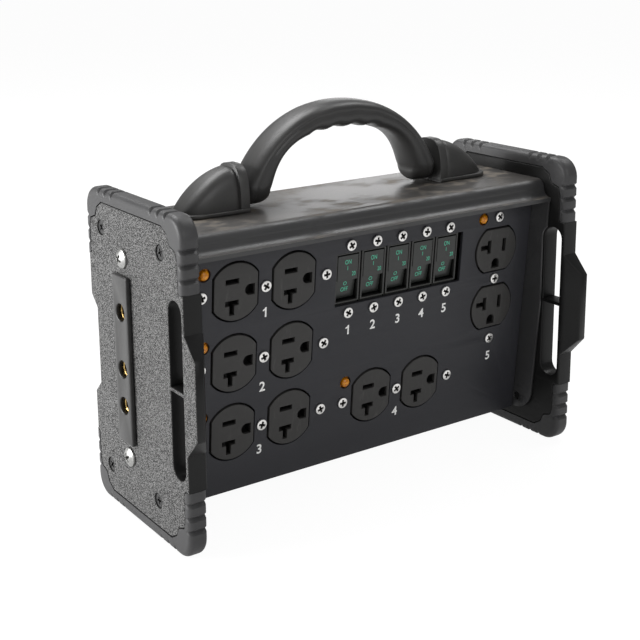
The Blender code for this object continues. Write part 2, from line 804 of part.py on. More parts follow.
loops = [
    rectangle(-panel_half, panel_bottom, panel_half, panel_top),
    rectangle(
        BREAKER_COLUMN - window_half,
        window_row - WINDOW_HEIGHT / 2,
        BREAKER_COLUMN + window_half,
        window_row + WINDOW_HEIGHT / 2,
    ),
]
screw_hole = SCREW_SHANK_RADIUS + HOLE_GAP
for duplex in DUPLEXES:
    for centre in (-FACE_SPACING / 2, FACE_SPACING / 2):
        loops.append(on_duplex(face_edge(centre, HOLE_GAP), duplex))
    for along in (-SCREW_SPACING / 2, 0.0, SCREW_SPACING / 2):
        loops.append(on_duplex(circle((along, 0.0), screw_hole, 6), duplex))
    loops.append(circle(lamp_place(duplex), LAMP_HOLE_RADIUS, 10))
for column in BREAKER_COLUMNS:
    for step in (-0.5, 0.5):
        centre = (column, BREAKER_ROW + step * BREAKER_SCREW_SPACING)
        loops.append(circle(centre, screw_hole, 6))
panel = outline(loops, SHEET, FACING_FRONT, (0.0, SHEET / 2, 0.0))
keep(panel, "front_panel", PANEL_PAINT, panel_frame)


# Duplex outlets with their straps, built about their centre screw
def blade_slot(centre_u, centre_v):
    return rectangle(
        centre_u - BLADE_LENGTH / 2,
        centre_v - BLADE_WIDTH / 2,
        centre_u + BLADE_LENGTH / 2,
        centre_v + BLADE_WIDTH / 2,
    )


def tee_slot(centre_u, centre_v):
    """A blade slot with a stem below it, for 20 ampere plugs."""
    half = BLADE_WIDTH / 2
    foot = centre_v - half - TEE_STEM
    low_left, low_right, high_right, high_left = blade_slot(centre_u, centre_v)
    stem = [(centre_u + half, low_left[1]), (centre_u + half, foot)]
    stem += [(centre_u - half, foot), (centre_u - half, low_left[1])]
    return [low_right, high_right, high_left, low_left] + stem[::-1]


def ground_hole(centre_u):
    round_side = arc((centre_u, 0.0), GROUND_RADIUS, 90, 270, 6)
    flat = centre_u + GROUND_LENGTH - GROUND_RADIUS
    return round_side + [(flat, -GROUND_RADIUS), (flat, GROUND_RADIUS)]


half_length = OUTLET_LENGTH / 2
half_width = OUTLET_WIDTH / 2
outlet = outline(
    [
        rectangle(-half_length, -half_width, half_length, half_width),
        circle((0.0, 0.0), screw_hole, 6),
    ],
    OUTLET_DEPTH,
    FACING_FRONT,
    (0.0, BEHIND_PANEL + OUTLET_DEPTH / 2, 0.0),
)
for centre in (-FACE_SPACING / 2, FACE_SPACING / 2):
    face = outline(
        [
            face_edge(centre, 0.0),
            blade_slot(centre - BLADE_SHIFT, BLADE_SPACING / 2),
            tee_slot(centre - BLADE_SHIFT, -BLADE_SPACING / 2),
            ground_hole(centre + GROUND_SHIFT),
        ],
        FACE_DEPTH,
        FACING_FRONT,
        (0.0, FACE_DEPTH / 2 - FACE_PROUD, 0.0),
    )
    hollow = outline(
        [face_edge(centre, -TOUCH_GAP)],
        FACE_DEPTH - FACE_PROUD - BEHIND_PANEL,
        FACING_FRONT,
        (0.0, (FACE_DEPTH - FACE_PROUD + BEHIND_PANEL) / 2 - TOUCH_GAP, 0.0),
    )
    cut(outlet, hollow)
    join(outlet, face)
apply_placement(outlet)

strap_end = STRAP_LENGTH / 2
strap_half = STRAP_WIDTH / 2
leg = half_length + TOUCH_GAP
strap_back = BEHIND_PANEL + OUTLET_DEPTH + TOUCH_GAP
strap_profile = [
    (-strap_end, BEHIND_PANEL),
    (-leg, BEHIND_PANEL),
    (-leg, strap_back),
    (leg, strap_back),
    (leg, BEHIND_PANEL),
    (strap_end, BEHIND_PANEL),
]
strap = outline([strap_profile + shifted(strap_profile, STRAP_THICKNESS)[::-1]], STRAP_WIDTH)
panel_screw = headed_screw(
    SCREW_HEAD_RADIUS, SCREW_HEAD_HEIGHT, SCREW_SHANK_RADIUS, SCREW_LENGTH, 10
)
long_screw = headed_screw(
    SCREW_HEAD_RADIUS, SCREW_HEAD_HEIGHT, SCREW_SHANK_RADIUS, strap_back + STRAP_THICKNESS, 10
)
places = (-SCREW_SPACING / 2, 0.0, SCREW_SPACING / 2)
for i, (pattern, along) in enumerate(zip((panel_screw, long_screw, panel_screw), places)):
    turn = (math.pi / 2, SCREW_SPIN * i, 0.0)
    join(strap, copy_to(pattern, "strap_screw", (along, -TOUCH_GAP, 0.0), turn))
apply_placement(strap)

for i, (column, row, upright) in enumerate(DUPLEXES):
    turn = (0.0, math.pi / 2 if upright else 0.0, 0.0)
    place = (column, 0.0, row)
    number = str(i + 1)
    keep(copy_to(outlet, "", place, turn), "outlet_" + number, OUTLET_PLASTIC, panel_frame)
    keep(copy_to(strap, "", place, turn), "outlet_strap_" + number, NICKEL, panel_frame)
discard(outlet, strap, long_screw)


# Indicator lamps: a domed lens with a flange behind the panel
lamp = turned(
    [
        (0.0, LAMP_PROUD),
        (LAMP_RADIUS * CROWN_SHARE, LAMP_PROUD * CROWN_LEVEL),
        (LAMP_RADIUS, 0.0),
        (LAMP_RADIUS, -BEHIND_PANEL),
        (LAMP_FLANGE_RADIUS, -BEHIND_PANEL),
        (LAMP_FLANGE_RADIUS, -BEHIND_PANEL - LAMP_FLANGE),
        (LAMP_RADIUS, -BEHIND_PANEL - LAMP_FLANGE),
        (LAMP_RADIUS, -LAMP_DEPTH),
        (0.0, -LAMP_DEPTH),
    ],
    rotation=FACING_FRONT,
    steps=10,
)
for i, duplex in enumerate(DUPLEXES):
    across, up = lamp_place(duplex)
    made = copy_to(lamp, "", (across, 0.0, up))
    keep(smooth(made), "indicator_lamp_%d" % (i + 1), AMBER, panel_frame)
discard(lamp)


# Circuit breakers, built about the middle of their two screws
half_width = BREAKER_WIDTH / 2
half_height = BREAKER_HEIGHT / 2
bezel_top = WINDOW_LIFT + WINDOW_HEIGHT / 2 - HOLE_GAP
bezel_bottom = WINDOW_LIFT - WINDOW_HEIGHT / 2 + HOLE_GAP
pivot_depth = BEZEL_RECESS + ROCKER_RADIUS * math.cos(ROCKER_THROW / 2)
breaker = box(
    (-half_width, BEHIND_PANEL, -half_height), (half_width, BREAKER_DEPTH, half_height)
)
join(
    breaker,
    box(
        (-half_width + BEZEL_SIDE_STEP, BEZEL_RECESS, bezel_bottom),
        (half_width - BEZEL_SIDE_STEP, BEHIND_PANEL + OVERCUT, bezel_top),
    ),
)
pocket_half = ROCKER_WIDTH / 2 + HOLE_GAP
cut(
    breaker,
    box(
        (-pocket_half, BEZEL_RECESS - OVERCUT, -ROCKER_DROP - ROCKER_DOWN - POCKET_END_GAP),
        (pocket_half, BEZEL_RECESS + POCKET_DEPTH, -ROCKER_DROP + ROCKER_UP + POCKET_END_GAP),
    ),
)
for step in (-0.5, 0.5):
    place = (0.0, -TOUCH_GAP, step * BREAKER_SCREW_SPACING)
    turn = (math.pi / 2, SCREW_SPIN * step, 0.0)
    join(breaker, copy_to(panel_screw, "breaker_screw", place, turn))
apply_placement(breaker)


def rocker_section():
    """The rocker's side view about its pivot: two facets that meet in a ridge."""
    face = -ROCKER_RADIUS * math.cos(ROCKER_THROW / 2)
    ridge = (face, -ROCKER_RADIUS * math.sin(ROCKER_THROW / 2))
    drop = ridge[1] + ROCKER_DOWN
    low = (face + drop * math.tan(ROCKER_THROW), -ROCKER_DOWN)
    low_back = (low[0] + ROCKER_THICKNESS, low[1] + ROCKER_THICKNESS * math.tan(ROCKER_THROW))
    back = face + ROCKER_THICKNESS
    hub = arc((0.0, 0.0), ROCKER_HUB, -100, 120, 6)
    return [(face, ROCKER_UP), ridge, low, low_back] + hub + [(back, ROCKER_UP)]


rocker = outline([rocker_section()], ROCKER_WIDTH, ACROSS_X)
for i, column in enumerate(BREAKER_COLUMNS):
    number = str(i + 1)
    place = (column, 0.0, BREAKER_ROW)
    keep(copy_to(breaker, "", place), "breaker_" + number, BREAKER_PLASTIC, panel_frame)
    place = (column, pivot_depth, BREAKER_ROW - ROCKER_DROP)
    keep(copy_to(rocker, "", place), "rocker_" + number, BREAKER_PLASTIC, panel_frame)
discard(breaker, rocker, panel_screw)


# Pin connectors: sockets on the left for the next box, pins on the right
CONTACTS = [("hot", CONTACT_HOT), ("ground", CONTACT_GROUND), ("neutral", CONTACT_NEUTRAL)]
connector_face = PLATE_OUTER + CONNECTOR_PROUD
core_end = connector_face - CONNECTOR_PROUD - CORE_DEPTH


def make_connector_body(side):
    """The face plate on the end plate's outside and the core behind it."""
    face = outline(
        [
            rectangle(
                CONNECTOR_Y - CONNECTOR_WIDTH / 2,
                CONNECTOR_RISE - CONNECTOR_LENGTH / 2,
                CONNECTOR_Y + CONNECTOR_WIDTH / 2,
                CONNECTOR_RISE + CONNECTOR_LENGTH / 2,
            )
        ],
        CONNECTOR_PROUD - TOUCH_GAP,
        ACROSS_X,
        (side * (PLATE_OUTER + (CONNECTOR_PROUD + TOUCH_GAP) / 2), 0.0, 0.0),
    )
    depth = PLATE_OUTER + CONNECTOR_PROUD / 2 - core_end
    core = outline([core_opening(0.0)], depth, ACROSS_X, (side * (core_end + depth / 2), 0.0, 0.0))
    return join(face, core)


feed_through = make_connector_body(-1)
well_radius = SOCKET_BORE + SOCKET_WALL + TOUCH_GAP
for name, offset in CONTACTS:
    bore = [
        (0.0, OVERCUT),
        (MOUTH_RADIUS, OVERCUT),
        (MOUTH_RADIUS, -MOUTH_DEPTH),
        (well_radius, -MOUTH_DEPTH),
        (well_radius, -CONTACT_DEPTH - MOUTH_DEPTH),
        (0.0, -CONTACT_DEPTH - MOUTH_DEPTH),
    ]
    place = (-connector_face, CONNECTOR_Y, CONNECTOR_RISE + offset)
    turn = (0.0, -math.pi / 2, 0.0)
    cut(feed_through, turned(bore, place, turn, 12))
    socket = turned(
        [
            (SOCKET_BORE, -MOUTH_DEPTH - TOUCH_GAP),
            (SOCKET_BORE + SOCKET_WALL, -MOUTH_DEPTH - TOUCH_GAP),
            (SOCKET_BORE + SOCKET_WALL, -MOUTH_DEPTH - CONTACT_DEPTH + TOUCH_GAP),
            (SOCKET_BORE, -MOUTH_DEPTH - CONTACT_DEPTH + TOUCH_GAP),
        ],
        place,
        turn,
        12,
    )
    keep(smooth(socket), "feed_through_socket_" + name, BRASS)
keep(feed_through, "feed_through_block", BLOCK_PLASTIC)

inlet = make_connector_body(1)
well = rectangle(
    CONNECTOR_Y - WELL_WIDTH / 2,
    CONNECTOR_RISE + CONTACT_NEUTRAL - WELL_END_MARGIN,
    CONNECTOR_Y + WELL_WIDTH / 2,
    CONNECTOR_RISE + CONTACT_HOT + WELL_END_MARGIN,
)
well_floor = connector_face - MOUTH_DEPTH - CONTACT_DEPTH
well_middle = (well_floor + connector_face + OVERCUT) / 2
cut(
    inlet,
    outline([well], connector_face + OVERCUT - well_floor, ACROSS_X, (well_middle, 0.0, 0.0)),
)
pin_length = connector_face - PIN_SETBACK - well_floor + PIN_ROOT
for name, offset in CONTACTS:
    place = (well_floor, CONNECTOR_Y, CONNECTOR_RISE + offset)
    turn = (0.0, math.pi / 2, 0.0)
    cut(inlet, rod(PIN_RADIUS + TOUCH_GAP, 2 * (PIN_ROOT + TOUCH_GAP), place, turn, 12))
    tip = pin_length - PIN_ROOT
    pin = turned(
        [
            (0.0, tip),
            (PIN_NOSE_RADIUS, tip - PIN_NOSE_ROUND),
            (PIN_RADIUS, tip - PIN_NOSE),
            (PIN_RADIUS, -PIN_ROOT),
            (0.0, -PIN_ROOT),
        ],
        place,
        turn,
        12,
    )
    keep(smooth(pin), "inlet_pin_" + name, BRASS)
keep(inlet, "inlet_block", BLOCK_PLASTIC)


# Screws in the end plates
pan_screw = headed_screw(PAN_RADIUS, PAN_HEIGHT, PAN_SHANK_RADIUS, PAN_LENGTH, 16, False)
flat_screw = turned(
    [
        (0.0, 0.0),
        (FLAT_HEAD_RADIUS, 0.0),
        (FLAT_SHANK_RADIUS, -FLAT_HEAD_DEPTH + HOLE_GAP),
        (FLAT_SHANK_RADIUS, -FLAT_LENGTH),
        (0.0, -FLAT_LENGTH),
    ],
    steps=12,
)
for side, name in ((-1, "left"), (1, "right")):
    turn = (0.0, side * math.pi / 2, 0.0)
    for (y, z), level in zip(PAN_SCREW_PLACES, ("low", "high")):
        made = copy_to(pan_screw, "", (side * (PLATE_OUTER + TOUCH_GAP), y, z), turn)
        keep(smooth(made), "connector_screw_%s_%s" % (name, level), NICKEL)
    for i, (y, z) in enumerate(FLAT_SCREW_PLACES):
        made = copy_to(flat_screw, "", (side * PLATE_OUTER, y, z), turn)
        keep(made, "plate_screw_%s_%d" % (name, i + 1), BLACK_STEEL)
discard(pan_screw, flat_screw)


# Carrying handle: an arched grip that swings on two pins
def half_arch(span, rise, foot):
    """Half an arch from its crown to its foot, about the hinge line."""
    shoulder = (span - HANDLE_SHOULDER_IN, HANDLE_SHOULDER_RISE)
    return bend((0.0, rise), (HANDLE_CROWN, rise), shoulder, (span, foot), 9)


foot_low = -HANDLE_WIDTH / 2
outer = half_arch(HANDLE_OUTER_SPAN, HANDLE_OUTER_RISE, 0.0)
inner = half_arch(HANDLE_INNER_SPAN, HANDLE_INNER_RISE, -PIVOT_RADIUS)
outer.append((HANDLE_OUTER_SPAN, foot_low))
inner += arc(
    (HANDLE_INNER_SPAN + HANDLE_TOE_ROUND, foot_low + HANDLE_TOE_ROUND), HANDLE_TOE_ROUND, 180, 270, 3
)
right_half = outer + inner[::-1]
left_half = [(-u, v) for u, v in right_half]
handle_edge = right_half[:-1] + left_half[::-1][:-1]
hinge = (0.0, HANDLE_Y, HINGE_RISE)
grip = outline([handle_edge], HANDLE_WIDTH, FACING_FRONT, hinge)
round_edges(grip, HANDLE_ROUND, 2, handle_edge)

# each foot is round about the hinge, so that it clears the top as it swings
tallest = HANDLE_OUTER_RISE + OVERCUT
foot_shape = arc((HANDLE_Y, HINGE_RISE), HANDLE_WIDTH / 2, 180, 360, 12)
foot_shape += [
    (HANDLE_Y + HANDLE_WIDTH / 2, HINGE_RISE + tallest),
    (HANDLE_Y - HANDLE_WIDTH / 2, HINGE_RISE + tallest),
]
combine(grip, outline([foot_shape], 2 * (HANDLE_OUTER_SPAN + OVERCUT), ACROSS_X), "INTERSECT")
for i in range(SCALLOP_COUNT):
    across = (i - (SCALLOP_COUNT - 1) / 2) * SCALLOP_PITCH
    height = HINGE_RISE + HANDLE_INNER_RISE + SCALLOP_DEPTH - SCALLOP_RADIUS
    place = (across, HANDLE_Y, height)
    cut(grip, rod(SCALLOP_RADIUS, HANDLE_WIDTH + OVERCUT, place, FACING_FRONT, 24))
for side in (-1, 1):
    length = PIVOT_IN_GRIP + TOUCH_GAP + OVERCUT
    place = (side * (HANDLE_OUTER_SPAN + OVERCUT - length / 2), HANDLE_Y, HINGE_RISE)
    cut(grip, rod(PIVOT_RADIUS + TOUCH_GAP, length, place, (0.0, math.pi / 2, 0.0), 12))
keep(smooth(grip), "handle_grip", GRIP_RUBBER)


# Handle mounts: a domed shell form with a rim round its inner face
def mount_section(along, half, height):
    """An arch across the mount, squarer than an ellipse."""
    power = 2 / MOUNT_SQUARENESS
    points = []
    for i in range(MOUNT_SIDES + 1):
        angle = math.pi * i / MOUNT_SIDES
        c = math.cos(angle)
        y = half * math.copysign(abs(c) ** power, c)
        points.append((along, y, height * math.sin(angle) ** power))
    return points


def mount_stations():
    """Distance from the inner face, half width and height of each section."""
    half = MOUNT_WIDTH / 2
    step = MOUNT_RIM_STEP
    rings = [
        (0.0, half + step, MOUNT_HEIGHT + step),
        (MOUNT_RIM_LENGTH, half + step, MOUNT_HEIGHT + step),
    ]
    reach = MOUNT_LENGTH - MOUNT_RIM_LENGTH - step
    for i in range(MOUNT_RINGS):
        t = math.sin(math.pi / 2 * i / MOUNT_RINGS)
        along = MOUNT_RIM_LENGTH + step + reach * t
        fall = 1 - (along / MOUNT_LENGTH) ** MOUNT_FALL
        taper = max(0.0, (t - MOUNT_TAPER_START) / (1 - MOUNT_TAPER_START))
        plan = (1 - taper**MOUNT_TAPER) ** 0.5
        width = max(half * plan, MOUNT_NOSE_WIDTH)
        rings.append((along, width, max(MOUNT_HEIGHT * fall, MOUNT_NOSE_HEIGHT)))
    return rings


def make_mount(side, name):
    work = bmesh.new()
    rings = []
    for along, half, height in mount_stations():
        rings.append([work.verts.new(p) for p in mount_section(along, half, height)])
    for near_ring, far_ring in zip(rings, rings[1:]):
        for i in range(MOUNT_SIDES):
            work.faces.new((near_ring[i], near_ring[i + 1], far_ring[i + 1], far_ring[i]))
        work.faces.new((near_ring[-1], near_ring[0], far_ring[0], far_ring[-1]))
    work.faces.new(rings[0])
    work.faces.new(rings[-1][::-1])
    bmesh.ops.recalc_face_normals(work, faces=work.faces)
    mesh = bpy.data.meshes.new("mount")
    work.to_mesh(mesh)
    work.free()
    mount = bpy.data.objects.new("mount", mesh)
    parts.objects.link(mount)
    inner_face = HANDLE_OUTER_SPAN + HANDLE_GAP
    half = MOUNT_WIDTH / 2 + MOUNT_FLANGE_STEP
    flange_end = arc((MOUNT_LENGTH + MOUNT_FLANGE_STEP - half, 0.0), half, -90, 90, 12)
    plan = [(0.0, half), (0.0, -half)] + flange_end
    flange = outline([plan], MOUNT_FLANGE_HEIGHT, location=(0.0, 0.0, MOUNT_FLANGE_HEIGHT / 2))
    join(mount, flange)
    hole_height = HINGE_RISE - TOP - TOUCH_GAP
    length = PIVOT_IN_MOUNT + TOUCH_GAP + OVERCUT
    place = (length / 2 - OVERCUT, 0.0, hole_height)
    cut(mount, rod(PIVOT_RADIUS + TOUCH_GAP, length, place, (0.0, math.pi / 2, 0.0), 12))
    mount.location = (side * inner_face, HANDLE_Y, TOP + TOUCH_GAP)
    if side < 0:
        mount.rotation_euler = (0.0, 0.0, math.pi)
    keep(smooth(mount), "handle_mount_" + name, MOUNT_PLASTIC)
    pin_low = inner_face - HANDLE_GAP - PIVOT_IN_GRIP
    pin_high = inner_face + PIVOT_IN_MOUNT
    place = (side * (pin_low + pin_high) / 2, HANDLE_Y, HINGE_RISE)
    pin = rod(PIVOT_RADIUS, pin_high - pin_low, place, (0.0, math.pi / 2, 0.0), 12)
    keep(smooth(pin), "pivot_pin_" + name, STEEL)


make_mount(-1, "left")
make_mount(1, "right")


# Bus bars, each on two posts from the housing's back wall
def make_bus(name, rise, finish):
    wall = HOUSING_REAR - SHEET - TOUCH_GAP
    front = wall - BUS_STANDOFF - BUS_THICKNESS
    bar = box(
        (-BUS_LENGTH / 2, front, rise - BUS_HEIGHT / 2),
        (BUS_LENGTH / 2, front + BUS_THICKNESS, rise + BUS_HEIGHT / 2),
    )
    for side in (-1, 1):
        length = BUS_STANDOFF + BUS_THICKNESS / 2
        place = (side * BUS_POST_SPACING / 2, wall - length / 2, rise)
        join(bar, rod(BUS_POST_RADIUS, length, place, FACING_FRONT, 12))
    keep(bar, name, finish)


make_bus("hot_bus", MIDDLE + HOT_BUS_LIFT, COPPER)
make_bus("neutral_bus", MIDDLE + NEUTRAL_BUS_LIFT, COPPER)
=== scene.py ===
import math

import bmesh
import bpy
import numpy as np
from mathutils import Matrix, Quaternion, Vector


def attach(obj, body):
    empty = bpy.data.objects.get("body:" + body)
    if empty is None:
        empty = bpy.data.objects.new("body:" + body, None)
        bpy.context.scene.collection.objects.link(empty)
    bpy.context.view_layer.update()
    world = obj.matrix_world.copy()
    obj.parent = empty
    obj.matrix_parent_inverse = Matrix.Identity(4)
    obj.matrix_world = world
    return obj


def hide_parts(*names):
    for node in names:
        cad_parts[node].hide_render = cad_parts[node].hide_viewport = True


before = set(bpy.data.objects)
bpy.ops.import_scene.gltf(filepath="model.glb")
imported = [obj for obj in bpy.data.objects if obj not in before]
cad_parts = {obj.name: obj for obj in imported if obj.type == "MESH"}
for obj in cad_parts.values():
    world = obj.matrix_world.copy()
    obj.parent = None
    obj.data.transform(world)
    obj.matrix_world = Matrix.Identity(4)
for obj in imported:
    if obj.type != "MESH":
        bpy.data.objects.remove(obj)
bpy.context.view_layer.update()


# The camera stands off the box's front left corner, a little above it. The lens
# is a long one, and its frame is shifted to hold the box.
azimuth, elevation, roll = math.radians(34.76), math.radians(13.02), math.radians(0.4)
ahead = Vector((
    math.sin(azimuth) * math.cos(elevation),
    math.cos(azimuth) * math.cos(elevation),
    -math.sin(elevation),
))
camera = bpy.data.objects.new("camera", bpy.data.cameras.new("camera"))
camera.location = (-0.4274, -0.5786, 0.3285)
camera.rotation_mode = "QUATERNION"
camera.rotation_quaternion = Quaternion(ahead, roll) @ ahead.to_track_quat("-Z", "Y")
camera.data.sensor_width = 36.0
camera.data.lens = 68.5
camera.data.shift_x, camera.data.shift_y = 0.0097, -0.160
bpy.context.scene.collection.objects.link(camera)
bpy.context.scene.camera = camera
bpy.context.scene.view_settings.view_transform = "Standard"


# The floor is one pale sheet. It and the world look white to the camera and
# dimmer in reflections, and the world's soft light fills in between the lamps.
class Wire:
    """The value in a socket. Sums, differences and products add Math nodes."""

    def __init__(self, graph, socket):
        self.graph, self.socket = graph, socket

    def maths(self, operation, other=0.0, swapped=False):
        ends = (other, self) if swapped else (self, other)
        return self.graph.add("ShaderNodeMath", {"operation": operation}, dict(enumerate(ends)))

    def __add__(self, other):
        return self.maths("ADD", other)

    def __sub__(self, other):
        return self.maths("SUBTRACT", other)

    def __rsub__(self, other):
        return self.maths("SUBTRACT", other, swapped=True)

    def __mul__(self, other):
        return self.maths("MULTIPLY", other)

    __radd__, __rmul__ = __add__, __mul__


class Graph:
    """A node tree of a material or of the world."""

    def __init__(self, owner):
        owner.use_nodes = True
        self.owner, self.tree = owner, owner.node_tree

    def feed(self, socket, value):
        if isinstance(value, Wire):
            self.tree.links.new(value.socket, socket)
        else:
            socket.default_value = value

    def add(self, kind, settings=None, sockets=None, out=0):
        """One node: its settings first, then the values or wires of its sockets."""
        node = self.tree.nodes.new(kind)
        for name, value in (settings or {}).items():
            setattr(node, name, value)
        for key, value in (sockets or {}).items():
            self.feed(node.inputs[key], value)
        return Wire(self, node.outputs[out])


def sight(graph):
    """1 for a ray from the camera or through glass, and 1 for a ray that was reflected."""
    path = graph.add("ShaderNodeLightPath").socket.node
    kinds = ("Camera", "Transmission", "Glossy")
    eye, glass, mirror = (Wire(graph, path.outputs["Is %s Ray" % kind]) for kind in kinds)
    return eye.maths("MAXIMUM", glass), mirror


world = bpy.data.worlds.new("studio")
bpy.context.scene.world = world
air = Graph(world)
sky = air.tree.nodes["Background"]
white = (1.0, 1.0, 1.0, 1.0)
soft_level, mirrored_level = 0.24, 0.30
seen, mirrored = sight(air)
level = seen * (1 - soft_level) + mirrored * (mirrored_level - soft_level) + soft_level
air.feed(sky.inputs["Color"], white)
air.feed(sky.inputs["Strength"], level)

floor_mesh = bpy.data.meshes.new("floor")
half_floor, below_box = 12.0, 0.0004
corners = [(half_floor * x, half_floor * y, -below_box) for x, y in ((-1, -1), (1, -1), (1, 1), (-1, 1))]
floor_mesh.from_pydata(corners, [], [(0, 1, 2, 3)])
floor = bpy.data.objects.new("floor", floor_mesh)
bpy.context.scene.collection.objects.link(floor)
paper = Graph(bpy.data.materials.new("pale_floor"))
matte = paper.tree.nodes["Principled BSDF"]
matte.inputs["Base Color"].default_value = (0.80, 0.80, 0.80, 1.0)
matte.inputs["Roughness"].default_value = 0.9
glow_level, seen_share, mirrored_share = 1.1, 0.86, 0.36
glow = paper.add("ShaderNodeEmission", {}, {"Color": white, "Strength": glow_level})
seen, mirrored = sight(paper)
share = seen * seen_share + mirrored * mirrored_share
shown = paper.add("ShaderNodeMixShader", {}, {0: share, 1: Wire(paper, matte.outputs[0]), 2: glow})
paper.tree.links.new(shown.socket, paper.tree.nodes["Material Output"].inputs["Surface"])
floor_mesh.materials.append(paper.owner)


def soft_box(name, place, target, width, height, watts):
    """A flat studio lamp at a place, turned to face a target."""
    light = bpy.data.lights.new(name, "AREA")
    light.shape, light.size, light.size_y, light.energy = "RECTANGLE", width, height, watts
    lamp = bpy.data.objects.new(name, light)
    lamp.location = place
    lamp.rotation_euler = (Vector(target) - Vector(place)).to_track_quat("-Z", "Y").to_euler()
    bpy.context.scene.collection.objects.link(lamp)


middle = (0.0, 0.0, 0.1)
soft_box("left_light", (-1.45, 0.60, 0.40), middle, 0.9, 0.7, 28.0)
soft_box("top_light", (-0.1, 0.75, 1.4), middle, 1.0, 0.8, 18.0)
soft_box("rear_light", (0.92, 1.16, 0.54), (0.0, 0.0, 0.17), 0.34, 0.36, 1.15)
soft_box("ridge_light", (0.80, 0.05, 1.30), middle, 0.6, 0.5, 6.0)
soft_box("front_light", (-0.1, -1.5, 0.9), middle, 0.9, 0.7, 6.5)


# Housing: one bent sheet of steel makes the eave over the panel, the top, the
# back and the bottom, and a flat side sheet is welded into each end. It has a
# satin powder coat, brownish black, smudged by handling on top.
def arc(centre, radius, start, end, steps):
    """Points round a circle, from one angle to another in degrees."""
    angle = np.radians(np.linspace(start, end, steps + 1))
    return np.stack([centre[0] + radius * np.cos(angle), centre[1] + radius * np.sin(angle)], 1)


def shifted(line, distance):
    """A line moved to its left: each point goes along the bisector of its two sides' normals."""
    step = np.diff(line, axis=0)
    step /= np.linalg.norm(step, axis=1)[:, None]
    normal = np.stack([-step[:, 1], step[:, 0]], 1)
    before, after = np.vstack([normal[:1], normal]), np.vstack([normal, normal[-1:]])
    middle = before + after
    middle /= np.linalg.norm(middle, axis=1)[:, None]
    return line + distance * middle / (middle * before).sum(1)[:, None]


def woven(points, caps=True):
    """Faces over a grid of points, whose last column is joined to its first. Caps close its first
    and last rows."""
    rows, columns = points.shape[:2]
    index = np.arange(rows * columns).reshape(rows, columns)
    ends = [index[0, ::-1].tolist(), index[-1].tolist()]
    index = np.concatenate([index, index[:, :1]], 1)
    quads = np.stack([index[:-1, :-1], index[:-1, 1:], index[1:, 1:], index[1:, :-1]], -1)
    mesh = bpy.data.meshes.new("woven")
    mesh.from_pydata(points.reshape(-1, 3), [], quads.reshape(-1, 4).tolist() + (ends if caps else []))
    return mesh


def carried(profile, stations):
    """A closed profile in (y, z), carried straight along X through the stations."""
    along = np.asarray(stations)[:, None, None] * np.array([1.0, 0.0, 0.0])
    flat = np.concatenate([np.zeros((len(profile), 1)), profile], 1)
    return woven(along + flat)


def cut_sheet(loops, low, high, edge, steps=2):
    """A flat piece from low to high along Z: the first loop is its outline, the others are holes,
    and every edge is rounded by a quarter circle of radius edge."""
    curve = bpy.data.curves.new("outline", "CURVE")
    curve.dimensions, curve.fill_mode = "2D", "BOTH"
    curve.extrude, curve.offset = (high - low) / 2 - edge, -edge
    curve.bevel_depth, curve.bevel_resolution = edge, steps
    for loop in loops:
        spline = curve.splines.new("POLY")
        spline.points.add(len(loop) - 1)
        corners = np.zeros((len(loop), 4))
        corners[:, :2], corners[:, 3] = loop, 1.0
        spline.points.foreach_set("co", corners.ravel())
        spline.use_cyclic_u = True
    return hardened(curve, Matrix.Translation((0.0, 0.0, (low + high) / 2)))


def hardened(curve, place=Matrix()):
    """The mesh of a curve or text, moved to its place."""
    drawn = bpy.data.objects.new("drawn", curve)
    bpy.context.scene.collection.objects.link(drawn)
    bpy.context.view_layer.update()
    mesh = bpy.data.meshes.new_from_object(drawn.evaluated_get(bpy.context.evaluated_depsgraph_get()))
    bpy.data.objects.remove(drawn)
    bpy.data.curves.remove(curve)
    mesh.transform(place)
    return mesh


def rectangle(low_u, low_v, high_u, high_v, corner=0.0, steps=4):
    """A rectangle whose corners are quarter circles."""
    if not corner:
        return np.array([(low_u, low_v), (high_u, low_v), (high_u, high_v), (low_u, high_v)])
    inner = (low_u + corner, low_v + corner, high_u - corner, high_v - corner)
    return np.concatenate([
        arc((inner[2], inner[3]), corner, 0, 90, steps),
        arc((inner[0], inner[3]), corner, 90, 180, steps),
        arc((inner[0], inner[1]), corner, 180, 270, steps),
        arc((inner[2], inner[1]), corner, 270, 360, steps),
    ])


def circle(centre, radius, steps=32):
    """Points all the way round a circle, without the first again at the end."""
    return arc(centre, radius, 0, 360, steps)[:-1]


def moved(mesh, place):
    """A copy of a mesh in another place."""
    made = mesh.copy()
    made.transform(place)
    return made


def piece(name, meshes, material, body, nodes=(), place=Matrix(), crease=32.0):
    """One object from several meshes: welded, faces outwards, smooth up to a crease angle."""
    work = bmesh.new()
    for mesh in meshes:
        work.from_mesh(mesh)
    bmesh.ops.remove_doubles(work, verts=work.verts, dist=2e-6)
    bmesh.ops.recalc_face_normals(work, faces=work.faces)
    bmesh.ops.transform(work, matrix=place, verts=work.verts)
    made = bpy.data.meshes.new(name)
    work.to_mesh(made)
    work.free()
    made.polygons.foreach_set("use_smooth", [True] * len(made.polygons))
    made.set_sharp_from_angle(angle=math.radians(crease))
    made.materials.clear()
    made.materials.append(material)
    made.polygons.foreach_set("material_index", [0] * len(made.polygons))
    shown = bpy.data.objects.new(name, made)
    bpy.context.scene.collection.objects.link(shown)
    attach(shown, body)
    if nodes:
        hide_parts(*nodes)


def finish(name, **constants):
    """A new material. What never varies over it is set on the shader itself."""
    graph = Graph(bpy.data.materials.new(name))
    graph.shader = graph.tree.nodes["Principled BSDF"].inputs
    for key, value in constants.items():
        graph.shader[key.replace("_", " ")].default_value = value
    graph.spot = graph.add("ShaderNodeTexCoord", out="Object")
    return graph


